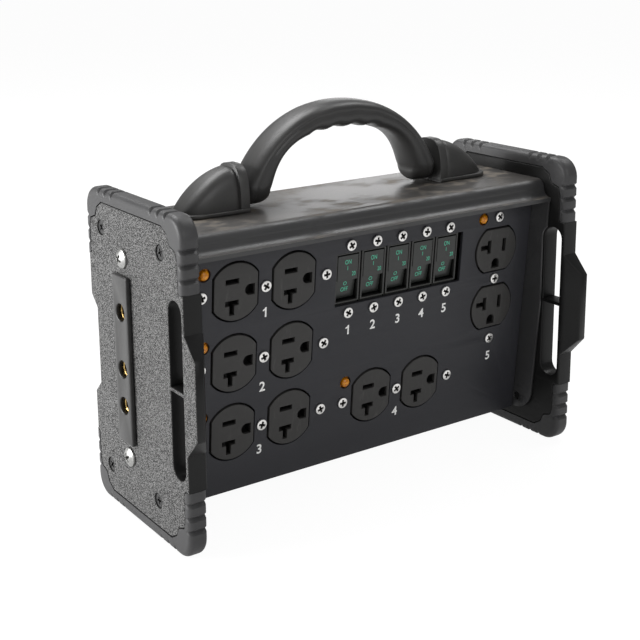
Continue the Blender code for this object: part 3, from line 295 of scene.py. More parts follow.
def cloud(graph, size, detail, stretch=(1.0, 1.0, 1.0), rough=0.5):
    """Noise with features of a size in metres, drawn out along an axis by stretch, and as many
    finer layers as detail says, each weaker than the last by rough."""
    scale = tuple(1.0 / (size * s) for s in stretch)
    spot = graph.add("ShaderNodeMapping", {}, {"Vector": graph.spot, "Scale": scale})
    return graph.add(
        "ShaderNodeTexNoise", {}, {"Vector": spot, "Scale": 1.0, "Detail": detail, "Roughness": rough}
    )


def step(graph, value, low, high):
    """A smooth rise from 0 to 1 as the value goes from low to high."""
    smooth = {"interpolation_type": "SMOOTHSTEP"}
    return graph.add("ShaderNodeMapRange", smooth, {0: value, 1: low, 2: high})


def blend(graph, amount, one, other):
    """One colour where the amount is 0, and the other where it is 1."""
    ends = [end if isinstance(end, Wire) else (*end, 1.0) for end in (one, other)]
    return graph.add("ShaderNodeMix", {"data_type": "RGBA"}, {0: amount, 6: ends[0], 7: ends[1]}, out=2)


def dress(graph, colour, roughness, height, distance):
    """Feeds the shader its colour, its roughness and, to its normal, a height in units of distance."""
    graph.feed(graph.shader["Base Color"], colour)
    graph.feed(graph.shader["Roughness"], roughness)
    bump = graph.add("ShaderNodeBump", {}, {"Height": height, "Distance": distance})
    graph.feed(graph.shader["Normal"], bump)


sides = ((-1, "left"), (1, "right"))
height, front, rear, half_spacing, plate = 0.1905, -0.0517, 0.0623, 0.1320, 0.0115
outside = half_spacing + plate
top, bottom, sheet = 0.1753, 0.0140, 0.0025

coat = finish("housing_paint", Coat_Roughness=0.28)
smudge = step(coat, cloud(coat, 0.034, 3.0, (1.6, 0.9, 1.0), 0.6), 0.46, 0.60)
streak = step(coat, cloud(coat, 0.0085, 3.0, (1.6, 0.7, 1.0), 0.6), 0.42, 0.64) * smudge
peel = cloud(coat, 0.0011, 2.0)
facing = coat.add("ShaderNodeSeparateXYZ", {}, {0: coat.add("ShaderNodeNewGeometry", out=1)}, out=2)
# pale dust lies only where the coat faces up
# the coat is paler and browner where it faces up, most of all in the smudges and specks
grit = step(coat, cloud(coat, 0.0016, 1.0), 0.66, 0.74)
paler_up = (grit * 0.25 + streak * 0.7 + 0.14) * step(coat, facing, 0.80, 0.98)
paler_up_colour = blend(coat, paler_up, (0.031, 0.031, 0.032), (0.150, 0.128, 0.102))
dress(coat, paler_up_colour, smudge * 0.08 + streak * 0.20 + 0.39, peel, 0.00004)
coat.feed(coat.shader["Coat Weight"], 0.12 - streak * 0.10)

eave_y, eave_z, cove_round, brow_round, bend = -0.0392, 0.1643, 0.0065, 0.0055, 0.0120
back = rear - 0.0110
cove = arc((eave_y, eave_z + cove_round), cove_round, -90, -10, 12)
brow = arc((cove[-1, 0] + brow_round, top - brow_round), brow_round, 180, 90, 12)
bottom_lip = -0.00932
wrap = np.concatenate([
    cove, brow,
    arc((back - bend, top - bend), bend, 90, 0, 16),
    arc((back - bend, bottom + bend), bend, 0, -90, 16),
    [(bottom_lip, bottom)],
])
skin = np.concatenate([wrap, shifted(wrap, -sheet)[::-1]])
half_shell = 0.1317
shell = carried(skin, (-half_shell, -half_shell + 0.0003, half_shell - 0.0003, half_shell))


def across_x(x):
    """A flat piece's place on an end: its own U, V and Z become the box's Y, Z and X."""
    return Matrix(((0, 0, 1, x), (1, 0, 0, 0), (0, 1, 0, 0), (0, 0, 0, 1)))


slot_y, slot_round, slot_reach, slot_clear = -0.0421, 0.0070, 0.0430, 0.0008
middle_z = height / 2
lean = math.tan(math.radians(3.9))
gap_edge = slot_y + slot_round + slot_clear
low_round = 0.0145
low_corner = (eave_y + (eave_z - bottom) * lean + low_round, bottom + sheet / 2 + low_round)
side_edge = np.concatenate([
    shifted(wrap, -sheet / 2)[:-1],
    arc(low_corner, low_round, 270, 184, 10),
    [(gap_edge, eave_z - (gap_edge - eave_y) / lean)],
    arc((slot_y, middle_z + slot_reach), slot_round + slot_clear, 0, 57.2, 8),
])
plate_screws = [(front + 0.0239, height - 0.0224), (rear - 0.0191, height - 0.0224),
                (front + 0.0358, 0.0232), (rear - 0.0191, 0.0232)]
pin_y, pin_z = 0.0161, 0.0968
pan_screws = [(pin_y, pin_z + 0.0588 * way) for way in (-1, 1)]


def round_pins(half_wide, half_tall, corner=0.0, steps=4):
    """A rectangle about the middle of the pin connector."""
    low, high = (pin_y - half_wide, pin_z - half_tall), (pin_y + half_wide, pin_z + half_tall)
    return rectangle(*low, *high, corner, steps)


core_hole = round_pins(0.0079, 0.0454)
pan_holes = [circle(spot, 0.0028, 16) for spot in pan_screws]
holes = [core_hole] + [circle(spot, 0.0026, 16) for spot in plate_screws] + pan_holes
wall_x, half_wall = 0.13065, 0.00075
wall = cut_sheet([side_edge] + holes, -half_wall, half_wall, 0.0002, 1)
walls = [moved(wall, across_x(side * wall_x)) for side, end in sides]
piece("housing_shell", [shell] + walls, coat.owner, "base", ["housing"])


# Front panel: a leaning sheet of steel inside the eave, with a punched hole for
# every face, screw and lamp and one window for the breakers. It is coated
# satin black over a fine texture.
tilt = math.radians(4.9)
on_panel = Matrix((
    (1, 0, 0, 0),
    (0, -math.sin(tilt), -math.cos(tilt), -0.0227),
    (0, math.cos(tilt), -math.sin(tilt), 0.1373),
    (0, 0, 0, 1),
))
# each outlet's middle screw, across and up the panel, and whether the outlet stands upright
duplexes = [(-0.0750, 0.0, False), (-0.0750, -0.0430, False), (-0.0750, -0.0858, False),
            (0.0248, -0.0858, False), (0.1012, -0.0255, True)]
bank, pitch, row = 0.0219, 0.01905, -0.0060
columns = bank + pitch * np.arange(-2, 3)
half_duplex, half_faces = 0.04165, 0.01945


def on_duplex(points, duplex):
    """Points about a duplex outlet's middle screw, moved to its place on the panel."""
    column, rise, upright = duplex
    points = np.asarray(points)
    if upright:
        points = np.stack([points[:, 1], -points[:, 0]], 1)
    return points + (column, rise)


def face_edge(centre, grow, steps=24):
    """An outlet face's edge: a circle with a flat at its top and its foot."""
    limit = math.degrees(math.acos((0.0143 + grow) / (0.0171 + grow)))
    edge = [arc((centre, 0.0), 0.0171 + grow, limit + turn, 180 - limit + turn, steps) for turn in (0, 180)]
    return np.concatenate(edge)


def lamp_spot(duplex):
    """The place of an outlet's lamp, above and to the left of its middle screw."""
    column, rise, upright = duplex
    return (column - 0.0127, rise + 0.0414) if upright else (column - 0.0396, rise + 0.0127)


screw_hole = 0.0021
window = rectangle(bank - 0.0476, row + 0.0003 - 0.0166, bank + 0.0498, row + 0.0003 + 0.01605, 0.0005)
cuts = [rectangle(-0.1296, -0.12370, 0.1296, 0.03478), window]
for duplex in duplexes:
    cuts += [on_duplex(face_edge(half_faces * way, 0.0008), duplex) for way in (-1, 1)]
    cuts += [on_duplex(circle((half_duplex * way, 0.0), screw_hole, 16), duplex) for way in (-1, 0, 1)]
    cuts.append(circle(lamp_spot(duplex), 0.0039))
half_screws = 0.0211
cuts += [circle((column, row + half_screws * way), screw_hole, 16) for column in columns for way in (-1, 1)]

satin = finish("panel_paint", Specular_IOR_Level=0.32)
fine = cloud(satin, 0.00045, 2.0)
broad = cloud(satin, 0.045, 3.0, (1.4, 1.0, 0.8))
rubbed = step(satin, cloud(satin, 0.012, 4.0, (2.0, 1.0, 1.0), 0.6), 0.60, 0.78)
black = blend(satin, fine * 0.5 + broad * 0.4, (0.016, 0.0165, 0.0200), (0.040, 0.040, 0.046))
dress(satin, black, 0.36 + broad * 0.10 + rubbed * 0.10 + fine * 0.06, fine, 0.00003)
piece("panel_sheet", [cut_sheet(cuts, -sheet, 0.0, 0.0003)], satin.owner, "base",
      ["front_panel"], on_panel)


# Panel numerals: white ink printed below each outlet and each breaker, in a
# plain bold face 6 mm tall.
def reshaped(mesh, change):
    """A mesh whose points, as rows of x, y and z, have gone through a function."""
    spots = np.zeros(len(mesh.vertices) * 3)
    mesh.vertices.foreach_get("co", spots)
    mesh.vertices.foreach_set("co", change(spots.reshape(-1, 3)).ravel())
    return mesh


def lettering(words, tall, thickness, bold=0.0):
    """Words as a mesh about their own middle, scaled to stand so tall."""
    curve = bpy.data.curves.new("letters", "FONT")
    curve.body, curve.size, curve.extrude, curve.offset = words, 1.0, 0.02, bold

    def scaled(spots):
        """Centred, scaled alike in X and Y, and stretched from Z 0 to the thickness."""
        low, high = spots.min(0), spots.max(0)
        scale = tall / (high[1] - low[1])
        spots = (spots - (low + high) / 2) * (scale, scale, thickness / (high[2] - low[2]))
        return spots + (0.0, 0.0, thickness / 2)

    return reshaped(hardened(curve), scaled)


def numeral(number):
    """A digit from the typeface, or, for the one, an outline with its flag."""
    if number > 1:
        return lettering(str(number), 0.0060, 0.00006, 0.020)
    flag = np.array([(0.0002, -0.0030), (0.0013, -0.0030), (0.0013, 0.0030), (0.0005, 0.0030),
                     (0.0000, 0.0022), (-0.0012, 0.0016), (-0.0012, 0.0007), (0.0002, 0.0012)])
    return cut_sheet([flag], 0.0, 0.00006, 0.00002, 1)


ink = finish("white_ink")
patchy = cloud(ink, 0.0006, 3.0)
faded = blend(ink, step(ink, patchy, 0.55, 0.80) * 0.4, (0.95, 0.95, 0.93), (0.60, 0.60, 0.58))
dress(ink, faded, 0.48 + patchy * 0.15, patchy, 0.00002)
numerals = [
    moved(numeral(i + 1), Matrix.Translation((across, up, 0.00001)))
    for i, (across, up) in enumerate([
        (-0.0750, -0.0159), (-0.0750, -0.0617), (-0.0758, -0.1015), (0.0253, -0.1017), (0.1020, -0.0798)])
]
numerals += [
    moved(numeral(i + 1), Matrix.Translation((column, -0.0384, 0.00001)))
    for i, column in enumerate((-0.0157, 0.0034, 0.0227, 0.0415, 0.0600))
]
piece("panel_numerals", numerals, ink.owner, "base", (), on_panel)


# Duplex outlets: glass-filled nylon, each a body behind the panel with two
# faces that fill their holes but for a thin gap. A T slot takes either kind of
# 20 ampere blade. One steel strap holds each outlet from behind.
def behind_panel(graph, near, far):
    """0 in front of a depth behind the panel's face and 1 beyond another."""
    kind, inwards = "ShaderNodeVectorMath", -on_panel.col[2].xyz
    offset = graph.add(kind, {"operation": "SUBTRACT"}, {0: graph.spot, 1: on_panel.translation})
    depth = graph.add(kind, {"operation": "DOT_PRODUCT"}, {0: offset, 1: inwards}, out=1)
    return step(graph, depth, near, far)


nylon = finish("outlet_nylon", Specular_IOR_Level=0.4)
fibre = cloud(nylon, 0.0007, 3.0, (1.0, 1.0, 1.6))
worn = step(nylon, cloud(nylon, 0.006, 4.0, (0.5, 1.0, 2.2), 0.65), 0.56, 0.76)
toned = blend(nylon, worn * 0.6 + fibre * 0.3, (0.030, 0.029, 0.028), (0.062, 0.060, 0.057))
# painted shade: the nylon turns near black from 0.6 to 2.2 mm behind the panel's face, inside the slots and
# round the body
depth_shade_painted = blend(nylon, behind_panel(nylon, 0.0006, 0.0022), toned, (0.004, 0.004, 0.004))
dress(nylon, depth_shade_painted, 0.44 + fibre * 0.16 - worn * 0.08, fibre, 0.00003)


def blade(centre, offset, stem=0.0):
    """A blade slot, with a stem below its middle for the T-shaped one."""
    half, reach = 0.0015, 0.0043
    left, right, low, high = centre - reach, centre + reach, offset - half, offset + half
    if not stem:
        return np.array([(left, low), (right, low), (right, high), (left, high)])
    foot = low - stem
    return np.array([(left, low), (centre - half, low), (centre - half, foot), (centre + half, foot),
                     (centre + half, low), (right, low), (right, high), (left, high)])


def ground(centre):
    """A D-shaped hole: a half circle with a flat far side."""
    return np.concatenate([arc((centre, 0.0), 0.0032, 90, 270, 12),
                           [(centre + 0.0031, -0.0032), (centre + 0.0031, 0.0032)]])


faces, half_blades = [], 0.00635
for centre in (-half_faces, half_faces):
    straight, tee = blade(centre - 0.0026, half_blades), blade(centre - 0.0026, -half_blades, 0.0056)
    loops = [face_edge(centre, -0.0002), straight, tee, ground(centre + 0.0090)]
    faces.append(cut_sheet(loops, -0.0054, 0.0006, 0.0003, 3))
centre_hole = circle((0.0, 0.0), screw_hole, 16)
outlet_body = [rectangle(-0.0350, -0.0165, 0.0350, 0.0165, 0.0030), centre_hole]
outlet_body = cut_sheet(outlet_body, -0.0228, -0.0056, 0.0006)


def duplex_place(duplex):
    """An outlet's place on the panel, a quarter turn round for the upright one."""
    turn = Matrix.Rotation(-math.pi / 2 if duplex[2] else 0.0, 4, "Z")
    return on_panel @ Matrix.Translation((duplex[0], duplex[1], 0.0)) @ turn


for i, duplex in enumerate(duplexes):
    piece("duplex_%d" % (i + 1), faces + [outlet_body], nylon.owner, "base",
          ["outlet_%d" % (i + 1)], duplex_place(duplex))


# Straps and panel screws: a strip of plated steel bent round the back of each
# outlet, and cross-head screws with low domed heads, plated nickel.
head_steps = 96


def cross_head(radius, crown, rim, shank, length, span, slit, pit):
    """Rings of points round the screw's axis. Their height falls from the crown to the rim as a
    parabola, less a cross-shaped pit: 1 inside either arm, fading over a soft edge, and deeper
    towards the middle. The rim then turns down to the head's underside and the shank."""
    rings = np.concatenate([[0.0], np.linspace(0.05, 0.93, 22), [0.975, 1.0]]) * radius
    round_axis = np.linspace(0, 2 * np.pi, head_steps, endpoint=False)
    r, angle = np.meshgrid(rings, round_axis, indexing="ij")
    x, y = r * np.cos(angle), r * np.sin(angle)
    near, far = np.minimum(abs(x), abs(y)), np.maximum(abs(x), abs(y))
    soft = 0.00012
    arm = np.clip((slit / 2 - near) / soft + 0.5, 0, 1) * np.clip((span / 2 - far) / soft + 0.5, 0, 1)
    drop = rim + (crown - rim) * (1 - (r / radius) ** 2) - arm * pit * (1.15 - 0.5 * far / (span / 2))
    drop[-1] -= (crown - rim) * 0.25 + rim * 0.15
    head = np.stack([x, y, drop], -1)
    recess = np.concatenate([arm.ravel(), np.zeros(4 * head_steps)])
    tail = np.array([(radius, 0.0), (shank, 0.0), (shank, -length), (0.0, -length)])
    ring = np.stack([np.cos(angle[0]), np.sin(angle[0])], -1)
    heights = np.broadcast_to(tail[:, 1, None, None], (4, head_steps, 1))
    lower = np.concatenate([tail[:, :1, None] * ring, heights], -1)
    mesh = woven(np.concatenate([head, lower]), caps=False)
    mesh.attributes.new("recess", "FLOAT", "POINT").data.foreach_set("value", recess)
    return mesh


def in_recess(graph):
    """1 in the pit of a screw's head and 0 elsewhere, from the mesh's own attribute."""
    return graph.add("ShaderNodeAttribute", {"attribute_name": "recess"}, out=2)


nickel = finish("nickel_plate", Metallic=1.0)
haze = cloud(nickel, 0.0008, 3.0)
pit = in_recess(nickel)
plated = blend(nickel, haze, (0.78, 0.77, 0.75), (0.94, 0.93, 0.91))
# painted shade: the colour of a screw's cross-shaped pit, near black
recess_shade = (0.012, 0.011, 0.010)
dress(nickel, blend(nickel, pit, plated, recess_shade), 0.24 + haze * 0.16 + pit * 0.4, haze, 0.00003)

half_strap, leg, strap_back, behind_sheet = 0.0465, 0.0353, -0.0231, -0.0028
ribbon = np.array([(-half_strap, behind_sheet), (-leg, behind_sheet), (-leg, strap_back),
                   (leg, strap_back), (leg, behind_sheet), (half_strap, behind_sheet)])
ribbon = np.concatenate([ribbon, shifted(ribbon, -0.0014)[::-1]])
strap = cut_sheet([ribbon], -0.0060, 0.0060, 0.0002, 1)
strap.transform(Matrix.Rotation(math.pi / 2, 4, "X"))
short, long = (
    cross_head(0.0033, 0.0013, 0.0009, 0.0017, length, 0.0043, 0.0013, 0.0009) for length in (0.0090, 0.0245)
)
for i, duplex in enumerate(duplexes):
    meshes = [strap]
    for k, screw in enumerate((short, long, short)):
        turn = Matrix.Rotation(math.radians(20 + 37 * k + 53 * i), 4, "Z")
        meshes.append(moved(screw, Matrix.Translation((half_duplex * (k - 1), 0.0, 0.0003)) @ turn))
    piece("strap_and_screws_%d" % (i + 1), meshes, nickel.owner, "base",
          ["outlet_strap_%d" % (i + 1)], duplex_place(duplex))


# Indicator lamps: a domed amber lens in a black-edged hole beside each outlet,
# held by a flange behind the panel.
def turned(profile):
    """A profile of radius and height, turned about Z: each point goes round at its own radius."""
    r, z = np.asarray(profile).T[:, :, None]
    angle = np.linspace(0, 2 * np.pi, 48, endpoint=False)
    return woven(np.stack([r * np.cos(angle), r * np.sin(angle), z + 0 * angle], -1), caps=False)


amber = finish("amber_lens", Transmission_Weight=0.15, IOR=1.49)
flow = cloud(amber, 0.0014, 2.0)
orange = blend(amber, step(amber, flow, 0.35, 0.70), (0.60, 0.18, 0.0), (0.98, 0.40, 0.0))
dress(amber, orange, 0.28 + flow * 0.18, flow, 0.00004)
amber.feed(amber.shader["Coat Weight"], 0.1 + flow * 0.2)
lens = turned(np.concatenate([
    arc((0.0, -0.0019), 0.0035, 90, 40.5, 12),
    [(0.0027, 0.0), (0.0027, -0.0026), (0.0029, -0.0028), (0.0043, -0.0028), (0.0043, -0.0038),
     (0.0029, -0.0038), (0.0029, -0.0140), (0.0, -0.0140)],
]))
for i, duplex in enumerate(duplexes):
    across, up = lamp_spot(duplex)
    piece("lamp_lens_%d" % (i + 1), [lens], amber.owner, "base",
          ["indicator_lamp_%d" % (i + 1)], on_panel @ Matrix.Translation((across, up, 0.0)))


# Circuit breakers: five moulded cases side by side in one window, each with a
# thin frame round its rocker and a screw above and below.
case = finish("breaker_case")
grain = cloud(case, 0.0005, 2.0)
mould = blend(case, grain, (0.016, 0.016, 0.0155), (0.036, 0.037, 0.034))
# painted shade: the case turns near black from 2.4 to 4.4 mm behind the panel's face, in the gap round the
# rocker
depth_shade_painted = blend(case, behind_panel(case, 0.0024, 0.0044), mould, (0.003, 0.003, 0.003))
dress(case, depth_shade_painted, 0.30 + grain * 0.18, grain, 0.00002)

pocket = rectangle(-0.0078, -0.0143, 0.0078, 0.0149)
bezel = cut_sheet([rectangle(-0.0090, -0.01535, 0.0090, 0.01595, 0.0008), pocket], -0.0044, -0.0016, 0.0003)
outline = rectangle(-0.0091, -0.0260, 0.0091, 0.0260, 0.0006)
ring = cut_sheet([outline, pocket], -0.0128, -0.0028, 0.0004)
block = cut_sheet([outline], -0.0420, -0.0126, 0.0004)
for i, column in enumerate(columns):
    place = on_panel @ Matrix.Translation((column, row, 0.0))
    piece("breaker_case_%d" % (i + 1), [bezel, ring, block], case.owner, "base",
          ["breaker_%d" % (i + 1)], place)
    meshes = [
        moved(short, Matrix.Translation((0.0, half_screws * way, 0.0003))
              @ Matrix.Rotation(math.radians(31 * way + 47 * i), 4, "Z"))
        for way in (-1, 1)
    ]
    piece("breaker_screws_%d" % (i + 1), meshes, nickel.owner, "base", (), place)


# Rockers: glossy moulded paddles with two flat facets and a step down between
# them. The upper facet stands flush and the lower one leans in, which is OFF. The
# words are printed in green.
throw = math.radians(13.0)
facet, ridge = -0.0050 * math.cos(throw / 2), -0.0050 * math.sin(throw / 2)
paddle_top, paddle_foot, skirt, ridge_step, ridge_foot = 0.0148, -0.0128, 0.0038, 0.0020, ridge - 0.0001
low_face = facet + (ridge - paddle_foot) * math.tan(throw)
foot_face = low_face + 0.0009
paddle_edge = np.concatenate([
    [(facet, paddle_top), (facet, ridge), (facet + ridge_step, ridge_foot), (foot_face, paddle_foot),
     (low_face + skirt, paddle_foot + skirt * math.tan(throw))],
    arc((0.0, 0.0), 0.0026, -100, 120, 16),
    [(facet + skirt, paddle_top)],
])
paddle = cut_sheet([paddle_edge], -0.0074, 0.0074, 0.0003)
paddle.transform(Matrix(((0, 0, 1, 0), (0, 1, 0, 0), (-1, 0, 0, 0), (0, 0, 0, 1))))

gloss = finish("rocker_plastic")
swirl = cloud(gloss, 0.0020, 3.0)
pits = cloud(gloss, 0.0004, 1.0)
sleek = blend(gloss, swirl, (0.012, 0.013, 0.012), (0.026, 0.029, 0.026))
dress(gloss, sleek, 0.24 + swirl * 0.14, pits, 0.000015)

green = finish("green_ink")
thin = cloud(green, 0.0005, 2.0)
dress(green, blend(green, thin, (0.05, 0.42, 0.27), (0.14, 0.72, 0.48)), 0.42 + thin * 0.2, thin, 0.00001)

print_thick = 0.00005
upper = Matrix.Translation((0.0, 0.0, -facet + 0.00001))
fall = math.atan2(foot_face - facet - ridge_step, ridge_foot - paddle_foot)
slope = Matrix.Translation((0.0, ridge, -facet - ridge_step)) @ Matrix.Rotation(fall, 4, "X")
slope = slope @ Matrix.Translation((0.0, 0.0, print_thick))


def printed(word, tall, on_facet, across, up, width=0.78):
    """A word whose middle is at a place on one facet, drawn in to a share of its width."""
    spot = Matrix.Translation((across, up, 0.0)) @ Matrix.Diagonal((width, 1, 1, 1))
    return moved(lettering(word, tall, print_thick), on_facet @ spot)


words = [
    printed("ON", 0.0027, upper, 0.0, 0.0108),
    printed("I", 0.0024, upper, -0.0002, 0.0070, 1.0),
    printed("20", 0.0025, upper, 0.0044, 0.0031),
    printed("O", 0.0024, slope, 0.0, -0.0028, 1.0),
    printed("OFF", 0.0028, slope, 0.0, -0.0066),
]
for i, column in enumerate(columns):
    place = on_panel @ Matrix.Translation((column, row - 0.0007, -0.00657))
    body = "switch_%d" % (i + 1)
    piece("rocker_paddle_%d" % (i + 1), [paddle], gloss.owner, body,
          ["rocker_%d" % (i + 1)], place, 8.0)
    piece("rocker_print_%d" % (i + 1), words, green.owner, body, (), place)


# End plates: thick mouldings with a pebbled grain, pierced by a hand slot with
# a web across its middle. A wing stands forward of each, thinning to its tip,
# and a recess at the back takes the wing of a box stacked behind.
grained = finish("plate_plastic", Specular_IOR_Level=0.18)
from_middle = grained.add("ShaderNodeSeparateXYZ", {}, {0: grained.spot}).maths("ABSOLUTE")
# 1 on the outer faces, which carry the pebbled grain. Elsewhere the plastic is near black, partly for its
# smooth moulding and partly as painted shade on the inner faces.
grain_face_else_smooth_shaded = step(grained, from_middle, outside - 0.0006, outside - 0.0002)
# both flat sides lie halfway between two layers of this noise, where it is strongest
pebble = cloud(grained, outside / 342.5, 0.0)
coarse = cloud(grained, 0.0010, 0.0)
shade = cloud(grained, 0.05, 2.0)
speck = step(grained, pebble * 0.92 + coarse * 0.08, 0.46, 0.56) * grain_face_else_smooth_shaded
# painted shade on the inner faces: where the mask is 0 the colour stays near black
specked = blend(grained, speck * 0.9 + shade * 0.1, (0.003, 0.003, 0.003), (0.200, 0.199, 0.197))
matt = 0.30 + grain_face_else_smooth_shaded * 0.28 + shade * 0.06 - speck * 0.10
dress(grained, specked, matt, (pebble * 0.8 + coarse * 0.2) * (grain_face_else_smooth_shaded * 0.85 + 0.15), 0.00035)

# half of the seam between plate and bumper: the way in from the plate's edge, and the height
cap, leg_low = height - 0.0073, height - 0.0406
seam_half = np.array([
    (0.0, leg_low), (0.0036, leg_low + 0.0002), (0.0048, leg_low + 0.0012),
    (0.0048, cap - 0.0160), (0.0063, cap - 0.0112), (0.0126, cap - 0.0090),
    (0.0150, cap - 0.0036), (0.0210, cap),
])
seam = np.concatenate([seam_half + (front, 0), (seam_half * (-1, 1) + (rear, 0))[::-1]])
plate_rear = rear - 0.0025
plate_seam = shifted(seam, -0.0002)
plate_seam[0, 0], plate_seam[-1, 0] = front, plate_rear
wing_root, wing_tip, wing_reach, tip_thick = front - 0.0004, front - 0.0106, 0.0102, 0.0054
plate_edge = np.concatenate([
    plate_seam,
    [(plate_rear, middle_z + 0.0300), (plate_rear - 0.0070, middle_z + 0.0230),
     (plate_rear - 0.0070, middle_z - 0.0230), (plate_rear, middle_z - 0.0300)],
    (plate_seam * (1, -1) + (0, height))[::-1],
    [(front, middle_z - 0.0335), (wing_tip, middle_z - 0.0215),
     (wing_tip, middle_z + 0.0215), (front, middle_z + 0.0335)],
])


def slot_half(way):
    """Half of the hand slot, from the web to its round end."""
    end = arc((slot_y, middle_z + way * slot_reach), slot_round, 0, 180 * way, 20)
    web = middle_z + way * 0.0011
    return np.concatenate([[(slot_y + slot_round, web)], end, [(slot_y - slot_round, web)]])


plate_cuts = [plate_edge, slot_half(1), slot_half(-1), core_hole]
plate_cuts += [circle(spot, 0.0043, 24) for spot in plate_screws] + pan_holes
flat_plate = cut_sheet(plate_cuts, -plate / 2, plate / 2, 0.0009, 3)
for side, end in sides:
    work = bmesh.new()
    work.from_mesh(flat_plate)
    for cut_at in np.linspace(wing_root, wing_tip + 0.0014, 5):
        bmesh.ops.bisect_plane(work, geom=work.verts[:] + work.edges[:] + work.faces[:],
                               plane_co=(cut_at, 0, 0), plane_no=(1, 0, 0))
    made = bpy.data.meshes.new("plate")
    work.to_mesh(made)
    work.free()

    def thinned(spots):
        """The depth behind the outer face shrinks in step with the way to the wing's tip."""
        reach = np.clip((wing_root - spots[:, 0]) / wing_reach, 0.0, 1.0)
        from_outside = plate / 2 - side * spots[:, 2]
        spots[:, 2] = side * (plate / 2 - from_outside * (1 - reach * (1 - tip_thick / plate)))
        return spots

    piece("plate_" + end, [reshaped(made, thinned)], grained.owner, "base",
          ["end_plate_" + end], across_x(side * (half_spacing + plate / 2)), 40.0)


# Bumpers: smooth black rubber caps over the top and the bottom end of each plate,
# with three grooves on either side of every corner for grip.
rubber = finish("bumper_rubber", Specular_IOR_Level=0.4)
bloom = cloud(rubber, 0.014, 4.0, rough=0.6)
skin_grain = cloud(rubber, 0.0006, 2.0)
scuff = step(rubber, cloud(rubber, 0.0035, 4.0, (1.0, 2.4, 0.6), 0.65), 0.62, 0.80)
greyed = blend(rubber, bloom * 0.5 + scuff * 0.5, (0.030, 0.030, 0.032), (0.090, 0.089, 0.088))
dress(rubber, greyed, 0.36 + bloom * 0.2 + scuff * 0.08, skin_grain, 0.00003)

# half a cap is a grid: one parameter is the distance along its outer edge, from
# a leg's end to the middle, and the other goes across the thickness. A point lies
# on the edge, moved inwards by the rounding of the rim and by the groove's depth,
# which falls off evenly on both sides of each crease. The outermost columns lie
# on the seam with the plate.
corner, rim_round = 0.0125, 0.0032
bumper_seam = shifted(seam, 0.0002)
bumper_seam[0, 0], bumper_seam[-1, 0] = front, rear
outer_half = np.concatenate([[(front, leg_low)], arc((front + corner, height - corner), corner, 180, 90, 40),
                             [((front + rear) / 2, height)]])
turn_length = corner * math.pi / 2
straight = height - corner - leg_low
length = np.concatenate([[0.0], np.cumsum(np.linalg.norm(np.diff(outer_half, axis=0), axis=1))])
in_from_end = 0.0176 + 0.0079 * np.arange(3)
creases = np.concatenate([height - in_from_end - leg_low, straight + turn_length + in_from_end - corner])
groove_half, groove_deep = 0.0017, 0.0018
distance = np.unique(np.concatenate([
    np.linspace(0.0, length[-1], 90), length, *(creases + shift for shift in (-groove_half, 0.0, groove_half))
]).round(7))
outer_way = np.stack([np.interp(distance, length, outer_half[:, k]) for k in (0, 1)], 1)
inner_knots = bumper_seam[:8].copy()
inner_knots[0] = inner_knots[1]
inner_knots = np.concatenate([inner_knots, [((front + rear) / 2, cap + 0.0002)]])
# how far along the outer edge each corner of the seam is met
outer_knots = np.array([
    0.0, 0.0002, 0.0010, cap - 0.0160 - leg_low, cap - 0.0112 - leg_low, straight + turn_length * 0.32,
    straight + turn_length * 0.68, straight + turn_length + 0.0085, distance[-1]])
inner_way = np.stack([np.interp(distance, outer_knots, inner_knots[:, k]) for k in (0, 1)], 1)
direction = np.gradient(outer_way, distance, axis=0)
direction /= np.linalg.norm(direction, axis=1)[:, None]
inward = np.stack([direction[:, 1], -direction[:, 0]], 1)
groove = groove_deep * np.clip(1 - abs(distance[:, None] - creases).min(1) / groove_half, 0, None)
quarter = np.radians(np.linspace(0, 90, 8))
rim_out, rim_drop = rim_round * (1 - np.cos(quarter)), rim_round * (1 - np.sin(quarter))
rim_x = np.concatenate([[-plate / 2], -plate / 2 + rim_out, plate / 2 - rim_out[::-1], [plate / 2]])
rim_in = np.concatenate([[0.0], rim_drop, rim_drop[::-1], [0.0]])
spots = outer_way[:, None] + inward[:, None] * (rim_in[None, :, None] + groove[:, None, None])
spots[:, 0], spots[:, -1] = inner_way, inner_way
along_x = np.broadcast_to(rim_x[None, :, None], (len(distance), len(rim_x), 1))
half_bumper = np.concatenate([along_x, spots], -1)
mirrored = half_bumper[::-1][1:].copy()
mirrored[..., 1] = front + rear - mirrored[..., 1]
bumper = woven(np.concatenate([half_bumper, mirrored]))
for side, end in sides:
    for level, flip in (("top", 1), ("bottom", -1)):
        place = Matrix.Translation((side * (half_spacing + plate / 2), 0.0, 0.0 if flip > 0 else height))
        cap_there = moved(bumper, place @ Matrix.Diagonal((1, 1, flip, 1)))
        piece("bumper_skin_%s_%s" % (end, level), [cap_there], rubber.owner, "base",
              ["bumper_%s_%s" % (end, level)], crease=38.0)


# Pin connectors: glossy moulded blocks let into the end plates. The left one
# has three brass sockets for the next box, and the right one three pins in a well.
phenolic = finish("connector_plastic")
ripple = cloud(phenolic, 0.004, 3.0)
rippled = blend(phenolic, ripple, (0.016, 0.016, 0.016), (0.038, 0.037, 0.036))
dress(phenolic, rippled, 0.28 + ripple * 0.16, cloud(phenolic, 0.0007, 2.0), 0.00002)

brass = finish("contact_brass", Metallic=1.0)
tarnish = step(brass, cloud(brass, 0.0022, 4.0, rough=0.6), 0.46, 0.70)
dulled = blend(brass, tarnish, (0.55, 0.38, 0.14), (0.16, 0.11, 0.04))
dress(brass, dulled, 0.22 + tarnish * 0.24, cloud(brass, 0.0009, 2.0), 0.00002)

